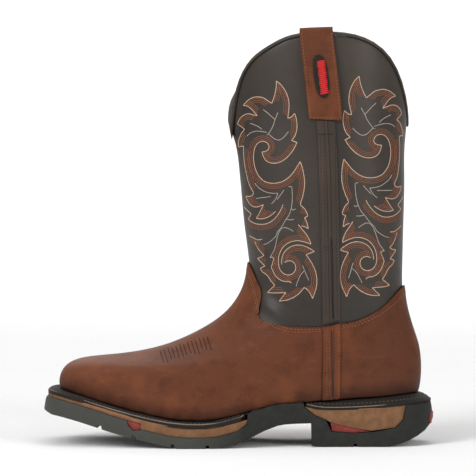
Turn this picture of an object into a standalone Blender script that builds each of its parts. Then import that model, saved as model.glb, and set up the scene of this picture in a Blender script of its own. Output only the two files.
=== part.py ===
"""A western work boot for the left foot: shaft, vamp, counter, welted sole and pull straps.

The toe points along -X, the inner side of the foot along +Y and the shaft along +Z.
The origin is on the floor, midway along the sole. All sizes are in metres.
"""

import functools
import math

import bmesh
import bpy
import mathutils

MM = 0.001

# Driving sizes of the sole
SOLE_LENGTH = 321 * MM
TOE_WIDTH = 94 * MM
BALL_WIDTH = 117 * MM
WAIST_WIDTH = 78 * MM
HEEL_WIDTH = 76 * MM
TOE_ROUNDING = 30 * MM
HEEL_ROUNDING = 38 * MM
FOREPART_THICKNESS = 21.5 * MM
TOE_SPRING = 27 * MM
HEEL_RISE = 22 * MM
HEEL_BREAST_HEIGHT = 19.5 * MM
WELT_LEDGE = 10 * MM
WAIST_GAP = 0.7 * MM
WELT_DROP = 3 * MM
WELT_THICKNESS = 2.4 * MM
MIDSOLE_THIN = 2.1 * MM
MIDSOLE_THICK = 6.8 * MM
HEEL_RIM_HEIGHT = 8.6 * MM
RIM_EDGE = 0.76
RIB_HEIGHT = 0.9 * MM
PLUG_DEPTH = 8 * MM
SIDEWALL_STEP = 1.2 * MM
LUG_GROOVE_WIDTH = 3.4 * MM
LUG_GROOVE_DEPTH = 2.6 * MM

# The toe is squarer than an ellipse (2), and its layers step back further than the sole's sides
TOE_SQUARENESS = 2.9
TOE_STEP = 3.0

# Driving sizes of the upper
VAMP_HEIGHT = 100 * MM
COLLAR_DIP_FRONT = 250 * MM
COLLAR_DIP_BACK = 262 * MM
COLLAR_PEAK = 335.7 * MM
SHAFT_HALF_WIDTH = 48 * MM
UPPER_WALL = 2.0 * MM
OVERLAY_THICKNESS = 1.5 * MM
OVERLAY_GAP = 0.85 * MM
INSOLE_THICKNESS = 4 * MM
BINDING_HEIGHT = 2.2 * MM
BINDING_OVERHANG = 0.3 * MM
BINDING_GAP = 0.6 * MM
SEAM_WIDTH = 15 * MM
SEAM_THICKNESS = 0.9 * MM
PIPING_WIDTH = 2.8 * MM
PIPING_HEIGHT = 2.0 * MM
STRAP_WIDTH = 27 * MM
STRAP_THICKNESS = 2.0 * MM
STRAP_LENGTH = 68.5 * MM
STRAP_INNER_LENGTH = 60 * MM
STRAP_BULGE = 2.2 * MM
PATCH_WIDTH = 12 * MM
PATCH_LENGTH = 35 * MM
PATCH_THICKNESS = 0.8 * MM
BADGE_WIDTH = 32 * MM
BADGE_HEIGHT = 9 * MM
BADGE_THICKNESS = 0.8 * MM
WALL_BULGE = 2.0 * MM
BULGE_HEIGHT = 12 * MM
GAP = 0.3 * MM
MIDSOLE_TOP = WELT_DROP + WELT_THICKNESS + GAP

# Places along the sole, as shares of its length from the middle
WELT_END = 0.028
MIDSOLE_END = 0.028
RIM_START = 0.172
PLUG_FRONT = -0.276
PLUG_BACK = -0.240

# Height of the line where upper and sole meet, along the sole.
# Columns: place as a share of the sole's length, shares of the toe spring and of the heel rise.
FEATHER_LINE = (
    (-0.500, 1.000, 0.00),
    (-0.459, 0.940, 0.00),
    (-0.409, 0.800, 0.00),
    (-0.358, 0.620, 0.00),
    (-0.299, 0.410, 0.00),
    (-0.208, 0.155, 0.00),
    (-0.165, 0.045, 0.00),
    (-0.130, 0.000, 0.00),
    (-0.072, 0.000, 0.00),
    (-0.006, 0.000, 0.20),
    (0.057, 0.000, 0.455),
    (0.088, 0.000, 0.61),
    (0.129, 0.000, 0.68),
    (0.160, 0.000, 0.665),
    (0.189, 0.000, 0.675),
    (0.277, 0.000, 0.76),
    (0.349, 0.000, 0.83),
    (0.421, 0.000, 0.94),
    (0.500, 0.000, 1.02),
)

# Depth of the heel rim, which starts thin at the waist.
# Columns: place along the sole, share of the rim's height.
RIM_DEPTHS = (
    (0.172, 0.33),
    (0.187, 0.49),
    (0.210, 0.70),
    (0.235, 0.80),
    (0.286, 0.92),
    (0.400, 1.00),
    (0.500, 1.00),
)

# Sides of the sole before its ends are rounded.
# Columns: place along the sole, the width it follows, lateral and medial shares of that width.
SOLE_SIDES = (
    (-0.500, TOE_WIDTH, 0.458, 0.542),
    (-0.409, TOE_WIDTH, 0.515, 0.585),
    (-0.314, BALL_WIDTH, 0.466, 0.490),
    (-0.220, BALL_WIDTH, 0.506, 0.489),
    (-0.126, BALL_WIDTH, 0.521, 0.462),
    (-0.031, BALL_WIDTH, 0.496, 0.402),
    (0.063, WAIST_WIDTH, 0.648, 0.500),
    (0.157, WAIST_WIDTH, 0.555, 0.445),
    (0.252, HEEL_WIDTH, 0.515, 0.465),
    (0.346, HEEL_WIDTH, 0.503, 0.490),
    (0.500, HEEL_WIDTH, 0.500, 0.500),
)

# Width of the ledge left outside the upper. Columns: place along the sole, share of the ledge.
LEDGE_SHARES = (
    (-0.500, 1.00),
    (-0.190, 0.95),
    (0.000, 0.80),
    (0.070, 0.45),
    (0.130, 0.22),
    (0.190, 0.35),
    (0.252, 0.65),
    (0.346, 0.80),
    (0.500, 0.85),
)

# Underside of the waist. Columns: place along the sole, share of the heel breast's height.
SHANK_LINE = (
    (-0.060, 0.00),
    (-0.010, 0.10),
    (0.010, 0.22),
    (0.031, 0.38),
    (0.051, 0.55),
    (0.071, 0.71),
    (0.092, 0.84),
    (0.112, 0.94),
    (0.135, 0.98),
    (0.189, 1.00),
)
BREAST_PLACE = 0.189

# Back of the heel, from the floor up. Columns: place along the sole, share of the heel line's height.
HEEL_BACK_CURVE = (
    (0.378, 0.000),
    (0.396, 0.030),
    (0.418, 0.080),
    (0.438, 0.145),
    (0.460, 0.240),
    (0.480, 0.360),
    (0.495, 0.510),
    (0.500, 0.680),
    (0.498, 0.860),
)

# Lug grooves across the tread, as places along the sole
FOREPART_GROOVES = (-0.346, -0.258, -0.160, -0.072, 0.011)
HEEL_GROOVES = (0.302,)

# Outline of the tan wedge in the heel, below the rim.
# Columns: place along the sole, share of the height of the rim's underside.
HEEL_WEDGE = (
    (0.173, 1.0),
    (0.2000, 0.844),
    (0.2280, 0.734),
    (0.2420, 0.424),
    (0.3000, 0.381),
    (0.3500, 0.407),
    (0.4020, 0.487),
    (0.4225, 0.666),
    (0.4305, 1.0),
)
WEDGE_INLAY = (
    (0.2385, 0.673),
    (0.2730, 0.566),
    (0.3110, 0.481),
    (0.3420, 0.428),
)

# Sections of the upper, each a loop from the front line round to the back line.
# Columns: front and back places as shares of the sole's length, front and back rises,
# front rounding and its squareness, back rounding, how far the loop follows the foot's sides
# (0) or its own width (1), and that width as a share of the shaft's half width.
# Rises are shares of the vamp's height in the foot, and of the way to the collar in the shaft.
FOOT_SECTIONS = (
    (-0.4528, 0.000, 0.4591, 0.000, 0.088, 2.9, 0.107, 0.00, 0.78),
    (-0.4544, 0.080, 0.4654, 0.131, 0.088, 2.8, 0.110, 0.00, 0.78),
    (-0.4388, 0.181, 0.4651, 0.251, 0.090, 2.7, 0.112, 0.00, 0.78),
    (-0.3905, 0.272, 0.4610, 0.372, 0.100, 2.5, 0.114, 0.02, 0.78),
    (-0.2939, 0.396, 0.4497, 0.484, 0.134, 2.25, 0.118, 0.10, 0.78),
    (-0.1911, 0.538, 0.4396, 0.587, 0.165, 2.1, 0.124, 0.28, 0.78),
    (-0.0977, 0.700, 0.4314, 0.688, 0.185, 2.0, 0.132, 0.55, 0.78),
    (-0.0260, 0.826, 0.4261, 0.789, 0.190, 2.0, 0.142, 0.82, 0.79),
    (0.0176, 1.000, 0.4239, 0.909, 0.182, 2.0, 0.152, 1.00, 0.81),
)
SHAFT_SECTIONS = (
    (0.0284, 0.180, 0.4245, 0.132, 0.172, 2.0, 0.160, 1.00, 0.87),
    (0.0148, 0.410, 0.4264, 0.349, 0.172, 2.0, 0.168, 1.00, 0.96),
    (0.0057, 0.672, 0.4302, 0.597, 0.180, 2.0, 0.176, 1.00, 1.00),
    (-0.0031, 0.877, 0.4280, 0.790, 0.190, 2.0, 0.184, 1.00, 0.98),
    (-0.0237, 1.000, 0.4367, 1.000, 0.198, 2.0, 0.190, 1.00, 0.94),
)

# The scalloped collar rises between its front and back dips. The dips sit a little round
# towards the lateral side in front and the medial side behind, as the shaft is turned out.
# Columns: how far round the end (1 = the side), share of the full rise.
SCALLOP_FRONT_LATERAL = (
    (0.00, 0.000),
    (0.06, 0.200),
    (0.12, 0.380),
    (0.24, 0.555),
    (0.32, 0.632),
    (0.44, 0.705),
    (0.55, 0.771),
    (0.72, 0.844),
    (0.88, 0.914),
    (1.00, 1.000),
)
SCALLOP_FRONT_MEDIAL = (
    (0.00, 0.000),
    (0.15, 0.150),
    (0.31, 0.290),
    (0.475, 0.380),
    (0.566, 0.450),
    (0.669, 0.530),
    (0.764, 0.660),
    (0.876, 0.810),
    (0.943, 0.895),
    (1.00, 1.000),
)
SCALLOP_BACK = (
    (0.00, 0.000),
    (0.15, 0.080),
    (0.32, 0.221),
    (0.47, 0.409),
    (0.58, 0.574),
    (0.72, 0.744),
    (0.80, 0.823),
    (0.89, 0.906),
    (1.00, 1.000),
)
SCALLOP_START_ROW = 10.0
SCALLOP_POWER = 1.25
SHAFT_TURN = 0.06

# Line of the side seams. Columns: share of the collar peak's height, place along the sole.
SEAM_LINE = ((0.10, 0.238), (0.29, 0.240), (0.50, 0.237), (0.67, 0.233), (0.79, 0.226), (1.00, 0.2015))

# Top edges of vamp and counter. Columns: share of the way from the front line to the seam
# (or from the seam to the back line), height as a share of the throat's height.
VAMP_EDGE = (
    (0.000, 1.180),
    (0.030, 1.160),
    (0.090, 1.075),
    (0.150, 1.030),
    (0.205, 1.005),
    (0.230, 0.968),
    (0.250, 0.935),
    (0.290, 0.890),
    (0.360, 0.845),
    (0.470, 0.808),
    (0.620, 0.784),
    (0.800, 0.770),
    (0.930, 0.769),
    (1.000, 0.782),
)
COUNTER_EDGE = (
    (0.00, 0.782),
    (0.20, 0.803),
    (0.40, 0.833),
    (0.60, 0.874),
    (0.75, 0.918),
    (0.87, 0.972),
    (1.00, 1.030),
)

# Loop zones, as shares of the way round from front to back: the rounded front, the flat
# side up to the seam, the flat side behind it and the rounded back
FRONT_ZONE = 0.30
SEAM_AT = 0.62
BACK_ZONE = 0.72
SEAM_CLEARANCE = 0.004

# Side view of a loop: points on its line, and the handles that bend it at both ends, as shares
# of its length and of its height above the sole
LOOP_SAMPLES = 48
FRONT_HANDLE = 0.30
FRONT_DROP = 0.45
BACK_HANDLE = 0.36
LEVEL_FROM_ROW = 9.0
LEVEL_ROWS = 3.0

LATERAL = -1
MEDIAL = 1

COLOURS = {
    "shaft_leather": ((0.050, 0.043, 0.038), 0.45),
    "brown_leather": ((0.190, 0.068, 0.033), 0.55),
    "black_rubber": ((0.022, 0.023, 0.022), 0.60),
    "tan_midsole": ((0.270, 0.150, 0.075), 0.70),
    "red_rubber": ((0.350, 0.030, 0.025), 0.50),
    "footbed": ((0.100, 0.075, 0.055), 0.85),
}


def clear_scene():
    for obj in list(bpy.data.objects):
        bpy.data.objects.remove(obj)


def line_through(points):
    """A smooth curve y(x) through points with rising x; it never swings past its points."""
    xs = [p[0] for p in points]
    ys = [p[1] for p in points]
    slopes = [(ys[i + 1] - ys[i]) / (xs[i + 1] - xs[i]) for i in range(len(xs) - 1)]
    tangents = [slopes[0]]
    for before, after in zip(slopes, slopes[1:]):
        same_way = before * after > 0
        tangents.append(2 * before * after / (before + after) if same_way else 0.0)
    tangents.append(slopes[-1])

    def value(x):
        i = 0
        while i < len(xs) - 2 and x > xs[i + 1]:
            i += 1
        step = xs[i + 1] - xs[i]
        t = (x - xs[i]) / step
        if t < 0 or t > 1:
            end = 0 if t < 0 else 1
            return ys[i + end] + tangents[i + end] * (x - xs[i + end])
        rise = ys[i + 1] - ys[i]
        bend_in = tangents[i] * step - rise
        bend_out = rise - tangents[i + 1] * step
        return ys[i] + t * rise + t * (1 - t) * ((1 - t) * bend_in + t * bend_out)

    return value


def blend_rows(rows, v):
    """The rows' values at the row number v, on a smooth curve through the rows."""
    i = min(int(v), len(rows) - 2)
    t = v - i
    before = rows[max(i - 1, 0)]
    after = rows[min(i + 2, len(rows) - 1)]
    values = []
    for p0, p1, p2, p3 in zip(before, rows[i], rows[i + 1], after):
        m1 = (p2 - p0) / (2 if i > 0 else 1)
        m2 = (p3 - p1) / (2 if i + 2 < len(rows) else 1)
        values.append(
            p1 * (1 + t * t * (2 * t - 3))
            + p2 * t * t * (3 - 2 * t)
            + m1 * t * (1 - t) ** 2
            - m2 * t * t * (1 - t)
        )
    return values


def smooth_step(t):
    t = min(max(t, 0.0), 1.0)
    return t * t * (3 - 2 * t)


def mix(a, b, t):
    return a + (b - a) * t


feather_toe = line_through([(row[0] * SOLE_LENGTH, row[1]) for row in FEATHER_LINE])
feather_heel = line_through([(row[0] * SOLE_LENGTH, row[2]) for row in FEATHER_LINE])
side_lateral = line_through([(row[0] * SOLE_LENGTH, row[1] * row[2]) for row in SOLE_SIDES])
side_medial = line_through([(row[0] * SOLE_LENGTH, row[1] * row[3]) for row in SOLE_SIDES])
rim_depth = line_through([(row[0] * SOLE_LENGTH, row[1] * HEEL_RIM_HEIGHT) for row in RIM_DEPTHS])
ledge_share = line_through([(row[0] * SOLE_LENGTH, row[1]) for row in LEDGE_SHARES])
shank_height = line_through([(x * SOLE_LENGTH, z * HEEL_BREAST_HEIGHT) for x, z in SHANK_LINE])
scallop_front = {-1: line_through(SCALLOP_FRONT_LATERAL), 1: line_through(SCALLOP_FRONT_MEDIAL)}
scallop_back = line_through(SCALLOP_BACK)
seam_place = line_through([(z * COLLAR_PEAK, x * SOLE_LENGTH) for z, x in SEAM_LINE])


def feather(x):
    """Height of the line where the upper meets the sole."""
    return FOREPART_THICKNESS + feather_toe(x) * TOE_SPRING + feather_heel(x) * HEEL_RISE


def scallop_rise(t):
    """Full rise of the collar above the line between its dips, this share of the way back."""
    return COLLAR_PEAK - mix(COLLAR_DIP_FRONT, COLLAR_DIP_BACK, t)


def sole_side(x, side):
    return side_lateral(x) if side == LATERAL else side_medial(x)


THROAT_FRONT = feather(FOOT_SECTIONS[-1][0] * SOLE_LENGTH) + VAMP_HEIGHT
THROAT_BACK = feather(FOOT_SECTIONS[-1][2] * SOLE_LENGTH) + FOOT_SECTIONS[-1][3] * VAMP_HEIGHT


def section_rows():
    """The upper's sections in metres: front x, z, back x, z, roundings, squareness, blend, width."""
    rows = []
    for fx, fz, bx, bz, front, square, back, own, width in FOOT_SECTIONS:
        x0 = fx * SOLE_LENGTH
        x1 = bx * SOLE_LENGTH
        z0 = feather(x0) + fz * VAMP_HEIGHT
        z1 = feather(x1) + bz * VAMP_HEIGHT
        sizes = (front * SOLE_LENGTH, square, back * SOLE_LENGTH, own, width * SHAFT_HALF_WIDTH)
        rows.append((x0, z0, x1, z1) + sizes)
    for fx, fz, bx, bz, front, square, back, own, width in SHAFT_SECTIONS:
        z0 = mix(THROAT_FRONT, COLLAR_DIP_FRONT, fz)
        z1 = mix(THROAT_BACK, COLLAR_DIP_BACK, bz)
        sizes = (front * SOLE_LENGTH, square, back * SOLE_LENGTH, own, width * SHAFT_HALF_WIDTH)
        rows.append((fx * SOLE_LENGTH, z0, bx * SOLE_LENGTH, z1) + sizes)
    return rows


SECTIONS = section_rows()
TOP_ROW = len(SECTIONS) - 1


def nose(distance, reach, square):
    """0 to 1 over the reach from an end, as a rounded corner: 2 is round, more is squarer."""
    t = min(max(distance / reach, 0.0), 1.0)
    return (1 - (1 - t) ** square) ** (1 / square)


def unit(x, z):
    length = math.hypot(x, z)
    return x / length, z / length


@functools.lru_cache(maxsize=None)
def section(v):
    """One loop of the upper seen from the side: its line, from front to back, and its sizes."""
    x0, z0, x1, z1, front, square, back, own, width = blend_rows(SECTIONS, v)
    low = blend_rows(SECTIONS, max(v - 0.05, 0.0))
    high = blend_rows(SECTIONS, min(v + 0.05, TOP_ROW))
    ux, uz = unit(high[0] - low[0], high[1] - low[1])
    bx, bz = unit(high[2] - low[2], high[3] - low[3])
    chord = math.hypot(x1 - x0, z1 - z0)
    rise0 = z0 - feather(x0)
    rise1 = z1 - feather(x1)
    room = FRONT_DROP * (rise0 + 1 * MM) / max(ux, 0.05)
    pull = ((chord * FRONT_HANDLE) ** -4 + room**-4) ** -0.25
    level = 1 - smooth_step((v - LEVEL_FROM_ROW) / LEVEL_ROWS)
    start = (x0 + uz * pull, z0 - ux * pull * level)
    end = (x1 - bz * chord * BACK_HANDLE, z1 + bx * chord * BACK_HANDLE * level)
    shaped = smooth_step((v - 1.0) / 5.0)
    risen = (max(v - SCALLOP_START_ROW, 0.0) / (TOP_ROW - SCALLOP_START_ROW)) ** SCALLOP_POWER
    line = []
    for i in range(LOOP_SAMPLES + 1):
        t = i / LOOP_SAMPLES
        a, b, c, d = (1 - t) ** 3, 3 * t * (1 - t) ** 2, 3 * t * t * (1 - t), t**3
        x = a * x0 + b * start[0] + c * end[0] + d * x1
        z = a * z0 + b * start[1] + c * end[1] + d * z1
        z = mix(feather(x) + mix(rise0, rise1, t), z, shaped)
        line.append((x, z))
    along = [0.0]
    for (xa, za), (xb, zb) in zip(line, line[1:]):
        along.append(along[-1] + math.hypot(xb - xa, zb - za))
    total = along[-1]
    seam = total * SEAM_AT
    for i in range(LOOP_SAMPLES):
        (xa, za), (xb, zb) = line[i], line[i + 1]
        goal = seam_place(za + risen * scallop_rise(i / LOOP_SAMPLES))
        if xa <= goal < xb:
            seam = mix(along[i], along[i + 1], (goal - xa) / (xb - xa))
    return {
        "line": line,
        "along": along,
        "total": total,
        "seam": seam,
        "front": min(front, 0.9 * seam),
        "square": square,
        "back": min(back, 0.9 * (total - seam)),
        "own": own,
        "width": width,
        "risen": risen,
    }


def at_distance(v, distance):
    """Side-view place (x, z) on the loop v, this far along it from the front."""
    shape = section(v)
    along = shape["along"]
    distance = min(max(distance, 0.0), shape["total"])
    i = min(int(distance / shape["total"] * LOOP_SAMPLES), LOOP_SAMPLES - 1)
    while i > 0 and along[i] > distance:
        i -= 1
    while i < LOOP_SAMPLES - 1 and along[i + 1] < distance:
        i += 1
    t = (distance - along[i]) / (along[i + 1] - along[i])
    (xa, za), (xb, zb) = shape["line"][i], shape["line"][i + 1]
    return mix(xa, xb, t), mix(za, zb, t)


def scallop(v, distance, side):
    """Share of the collar's rise at a place round the loop."""
    shape = section(v)
    front = nose(distance, shape["front"], shape["square"])
    back = nose(shape["total"] - distance, shape["back"], 2.1)
    return scallop_front[side](front) * scallop_back(back)


def upper_point(v, distance, side, risen=None):
    """A point of the upper's outer face on the loop v, this far from its front."""
    shape = section(v)
    x, z = at_distance(v, distance)
    tuck = smooth_step((z - feather(x)) / BULGE_HEIGHT) * WALL_BULGE
    inset = ledge_share(x) * WELT_LEDGE + OVERLAY_GAP + OVERLAY_THICKNESS
    foot = sole_side(x, side) - inset + tuck
    half_width = mix(foot, shape["width"], shape["own"])
    front = nose(distance, shape["front"], shape["square"])
    back = nose(shape["total"] - distance, shape["back"], 2.1)
    if risen is None:
        risen = scallop(v, distance, side)
    z += shape["risen"] * scallop_rise(distance / shape["total"]) * risen
    return (x, side * half_width * front * back, z)


def loop_distance(v, share):
    """Distance along the loop v of a share of the way from front (0) to back (1)."""
    shape = section(v)
    if share < FRONT_ZONE:
        angle = share / FRONT_ZONE * math.pi / 2
        return shape["front"] * (1 - math.cos(angle) ** (2 / shape["square"]))
    if share < SEAM_AT:
        return mix(shape["front"], shape["seam"], (share - FRONT_ZONE) / (SEAM_AT - FRONT_ZONE))
    if share < BACK_ZONE:
        start = shape["total"] - shape["back"]
        return mix(shape["seam"], start, (share - SEAM_AT) / (BACK_ZONE - SEAM_AT))
    angle = (1 - share) / (1 - BACK_ZONE) * math.pi / 2
    return shape["total"] - shape["back"] * (1 - math.cos(angle))


def cross(a, b):
    return (
        a[1] * b[2] - a[2] * b[1],
        a[2] * b[0] - a[0] * b[2],
        a[0] * b[1] - a[1] * b[0],
    )


def minus(a, b):
    return (a[0] - b[0], a[1] - b[1], a[2] - b[2])


def moved(point, direction, distance):
    length = math.sqrt(sum(c * c for c in direction))
    return tuple(p + c / length * distance for p, c in zip(point, direction))


def wrapped(way):
    """The same turn between -1 and 1."""
    return (way + 1) % 2 - 1


def dip_nearness(way):
    """1 at the dips of the collar in front and behind, 0 from the sides' flat stretches on."""
    front = abs(way) / FRONT_ZONE
    back = (1 - abs(way)) / (1 - BACK_ZONE)
    return max(1 - front * front, 0.0) ** 2 + 0.3 * max(1 - back * back, 0.0) ** 2


def loop_point(v, turn, offset=0.0):
    """A point at a turn round the loop v, from -1 to 1: 0 is the front, below 0 lateral, above 0 medial.

    The offset is measured outwards, square to the surface.
    """

    def place(row, way):
        way = wrapped(way)
        side = LATERAL if way < 0 else MEDIAL
        risen = scallop(row, loop_distance(row, abs(way)), side)
        way = wrapped(way - SHAFT_TURN * section(row)["risen"] * dip_nearness(way))
        side = LATERAL if way < 0 else MEDIAL
        return upper_point(row, loop_distance(row, abs(way)), side, risen)

    point = place(v, turn)
    if not offset:
        return point
    small = 0.004
    step = 0.02
    round_way = minus(place(v, turn + small), place(v, turn - small))
    up_way = minus(place(min(v + step, TOP_ROW), turn), place(max(v - step, 0.0), turn))
    return moved(point, cross(up_way, round_way), offset)


def seam_point(v, sideways, side, offset):
    """A point beside the side seam: sideways is towards the back, offset outwards."""

    def place(row, shift):
        return upper_point(row, section(row)["seam"] + shift, side)

    small = 1 * MM
    step = 0.03
    point = place(v, sideways)
    along = minus(place(v, sideways + small), place(v, sideways - small))
    up_way = minus(place(min(v + step, TOP_ROW), sideways), place(max(v - step, 0.0), sideways))
    out = cross(along, up_way)
    if out[1] * side < 0:
        out = cross(up_way, along)
    return moved(point, out, offset)


def row_at_height(turn, height):
    """The loop number at which the line up the boot at this turn reaches the height."""
    low, high = 0.0, float(TOP_ROW)
    for _ in range(30):
        middle = (low + high) / 2
        if loop_point(middle, turn)[2] < height:
            low = middle
        else:
            high = middle
    return (low + high) / 2


def sole_point(turn, inset):
    """A point (x, y) of the sole's outline at the turns that the upper's loops use."""
    share = abs(turn)
    side = LATERAL if turn < 0 else MEDIAL
    toe = -SOLE_LENGTH / 2 + inset * TOE_STEP
    heel = SOLE_LENGTH / 2 - inset
    toe_end = toe + TOE_ROUNDING
    heel_end = heel - HEEL_ROUNDING
    seam = SEAM_LINE[0][1] * SOLE_LENGTH
    if share < FRONT_ZONE:
        angle = share / FRONT_ZONE * math.pi / 2
        x = toe + TOE_ROUNDING * (1 - math.cos(angle) ** (2 / TOE_SQUARENESS))
    elif share < SEAM_AT:
        x = mix(toe_end, seam, (share - FRONT_ZONE) / (SEAM_AT - FRONT_ZONE))
    elif share < BACK_ZONE:
        x = mix(seam, heel_end, (share - SEAM_AT) / (BACK_ZONE - SEAM_AT))
    else:
        angle = (1 - share) / (1 - BACK_ZONE) * math.pi / 2
        x = heel - HEEL_ROUNDING * (1 - math.cos(angle))
    rounded = nose(x - toe, TOE_ROUNDING, TOE_SQUARENESS) * nose(heel - x, HEEL_ROUNDING, 2.1)
    return (x, side * (sole_side(x, side) - inset) * rounded)


def new_object(name, mesh, material):
    obj = bpy.data.objects.new(name, mesh)
    bpy.context.scene.collection.objects.link(obj)
    if material:
        obj.data.materials.append(material_named(material))
    return obj


def material_named(name):
    found = bpy.data.materials.get(name)
    if found:
        return found
    colour, roughness = COLOURS[name]
    material = bpy.data.materials.new(name)
    material.use_nodes = True
    shader = material.node_tree.nodes["Principled BSDF"]
    shader.inputs["Base Color"].default_value = (*colour, 1.0)
    shader.inputs["Roughness"].default_value = roughness
    shader.inputs["Metallic"].default_value = 0.0
    return material


def mesh_of(name, points, faces):
    mesh = bpy.data.meshes.new(name)
    mesh.from_pydata(points, [], faces)
    shape = bmesh.new()
    shape.from_mesh(mesh)
    bmesh.ops.remove_doubles(shape, verts=shape.verts, dist=1e-6)
    bmesh.ops.recalc_face_normals(shape, faces=shape.faces)
    shape.to_mesh(mesh)
    shape.free()
    mesh.shade_smooth()
    mesh.set_sharp_from_angle(angle=math.radians(40))
    return mesh


def lofted(name, sections, material, round_trip=False):
    """A solid through closed sections of equal point count, capped at its ends unless it meets itself."""
    count = len(sections[0])
    points = [p for ring in sections for p in ring]
    faces = []
    spans = len(sections) if round_trip else len(sections) - 1
    for i in range(spans):
        here = i * count
        there = (i + 1) % len(sections) * count
        for j in range(count):
            k = (j + 1) % count
            faces.append((here + j, here + k, there + k, there + j))
    if not round_trip:
        faces.append(tuple(range(count)))
        faces.append(tuple(range(len(points) - count, len(points))))
    return new_object(name, mesh_of(name, points, faces), material)


def shell(name, outer, inner, material, closed_round):
    """A solid between two grids of points of the same size, joined along their open edges."""
    rows = len(outer)
    columns = len(outer[0])
    points = [p for row in outer for p in row] + [p for row in inner for p in row]
    second = rows * columns

    def corner(layer, i, j):
        return layer * second + i * columns + j % columns

    faces = []
    spans = columns if closed_round else columns - 1
    for i in range(rows - 1):
        for j in range(spans):
            square = (corner(0, i, j), corner(0, i, j + 1), corner(0, i + 1, j + 1), corner(0, i + 1, j))
            faces.append(square)
            faces.append(tuple(index + second for index in reversed(square)))
    for i in (0, rows - 1):
        for j in range(spans):
            faces.append((corner(0, i, j), corner(0, i, j + 1), corner(1, i, j + 1), corner(1, i, j)))
    if not closed_round:
        for j in (0, columns - 1):
            for i in range(rows - 1):
                faces.append((corner(0, i, j), corner(0, i + 1, j), corner(1, i + 1, j), corner(1, i, j)))
    return new_object(name, mesh_of(name, points, faces), material)


def prism(name, outline, axis, low, high, material=None):
    """A polygon pulled out along Y (outline in x, z) or along Z (outline in x, y)."""
    def place(a, b, depth):
        return (a, depth, b) if axis == "Y" else (a, b, depth)

    count = len(outline)
    points = [place(a, b, low) for a, b in outline] + [place(a, b, high) for a, b in outline]
    faces = [tuple(range(count)), tuple(range(2 * count - 1, count - 1, -1))]
    for i in range(count):
        k = (i + 1) % count
        faces.append((i, k, k + count, i + count))
    return new_object(name, mesh_of(name, points, faces), material)


def boolean(obj, other, operation):
    modifier = obj.modifiers.new(operation.lower() + "_" + other.name, "BOOLEAN")
    modifier.operation = operation
    modifier.object = other
    modifier.solver = "EXACT"
    other.hide_render = True
    other.display_type = "WIRE"


def zone_turns(front, before_seam, behind_seam, back):
    """Shares of the way round from front to back, with this many steps in each zone."""
    shares = [FRONT_ZONE * i / front for i in range(front)]
    shares += [mix(FRONT_ZONE, SEAM_AT, i / before_seam) for i in range(before_seam)]
    shares += [mix(SEAM_AT, BACK_ZONE, i / behind_seam) for i in range(behind_seam)]
    shares += [mix(BACK_ZONE, 1.0, i / back) for i in range(back + 1)]
    return shares


def full_turns(shares):
    """All turns round a loop: the lateral side from back to front, then the medial side."""
    return [-s for s in reversed(shares)] + shares[1:-1]


UPPER_TURNS = full_turns(zone_turns(8, 9, 2, 6))


def build_upper():
    """The lining leather of foot and shaft as one hollow wall, open at the collar and below."""
    levels = [i / 2 for i in range(19)] + [10, 11, 12, 12.5, 13]
    outer = [[loop_point(v, turn) for turn in UPPER_TURNS] for v in levels]
    inner = [[loop_point(v, turn, -UPPER_WALL) for turn in UPPER_TURNS] for v in levels]
    return shell("upper", outer, inner, "shaft_leather", True)


def edge_height(table, share):
    return line_through(table)(share) * THROAT_FRONT


def overlay(name, turns, edge, material, rows):
    """Leather laid over the upper from the sole up to an edge line."""
    outer = []
    inner = []
    tops = [row_at_height(turn, edge(turn)) for turn in turns]
    for i in range(rows + 1):
        share = i / rows
        outer.append([])
        inner.append([])
        for turn, top in zip(turns, tops):
            v = top * share
            outer[-1].append(loop_point(v, turn, OVERLAY_GAP + OVERLAY_THICKNESS))
            inner[-1].append(loop_point(v, turn, OVERLAY_GAP))
    return shell(name, outer, inner, material, False)


def front_distance_share(turn):
    """How far round from the front line to the seam, at the throat."""
    v = len(FOOT_SECTIONS) - 1.5
    return min(loop_distance(v, abs(turn)) / section(v)["seam"], 1.0)


def back_distance_share(turn):
    v = len(FOOT_SECTIONS) - 1.5
    shape = section(v)
    return max(loop_distance(v, abs(turn)) - shape["seam"], 0.0) / (shape["total"] - shape["seam"])


def build_vamp():
    shares = zone_turns(8, 9, 1, 1)
    front = [s for s in shares if s < SEAM_AT - 1e-6] + [SEAM_AT - SEAM_CLEARANCE]
    turns = [-s for s in reversed(front)] + front[1:]
    return overlay(
        "vamp",
        turns,
        lambda turn: edge_height(VAMP_EDGE, front_distance_share(turn)),
        "brown_leather",
        14,
    )


def build_counter():
    shares = [s for s in zone_turns(1, 1, 3, 6) if s > SEAM_AT + 1e-6]
    back = [SEAM_AT + SEAM_CLEARANCE] + shares
    turns = back + [2 - s for s in reversed(back[:-1])]
    turns = [t if t <= 1 else t - 2 for t in turns]
    return overlay(
        "counter",
        turns,
        lambda turn: edge_height(COUNTER_EDGE, back_distance_share(turn)),
        "brown_leather",
        10,
    )


def build_seam(name, side, low, high, base, material, steps):
    """A seam cover with its piping bead, between two heights, on a base this far off the upper."""
    half = SEAM_WIDTH / 2
    bead = PIPING_WIDTH / 2
    profile = (
        (-half, 0.0),
        (-bead, 0.0),
        (bead, 0.0),
        (half, 0.0),
        (half, SEAM_THICKNESS),
        (bead + 0.4 * MM, SEAM_THICKNESS),
        (bead * 0.7, PIPING_HEIGHT),
        (-bead * 0.7, PIPING_HEIGHT),
        (-bead - 0.4 * MM, SEAM_THICKNESS),
        (-half, SEAM_THICKNESS),
    )
    first = row_at_height(side * SEAM_AT, low)
    last = row_at_height(side * SEAM_AT, high)
    rings = []
    for i in range(steps + 1):
        v = mix(first, last, i / steps)
        rings.append([seam_point(v, across, side, base + up) for across, up in profile])
    return lofted(name, rings, material)


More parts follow.
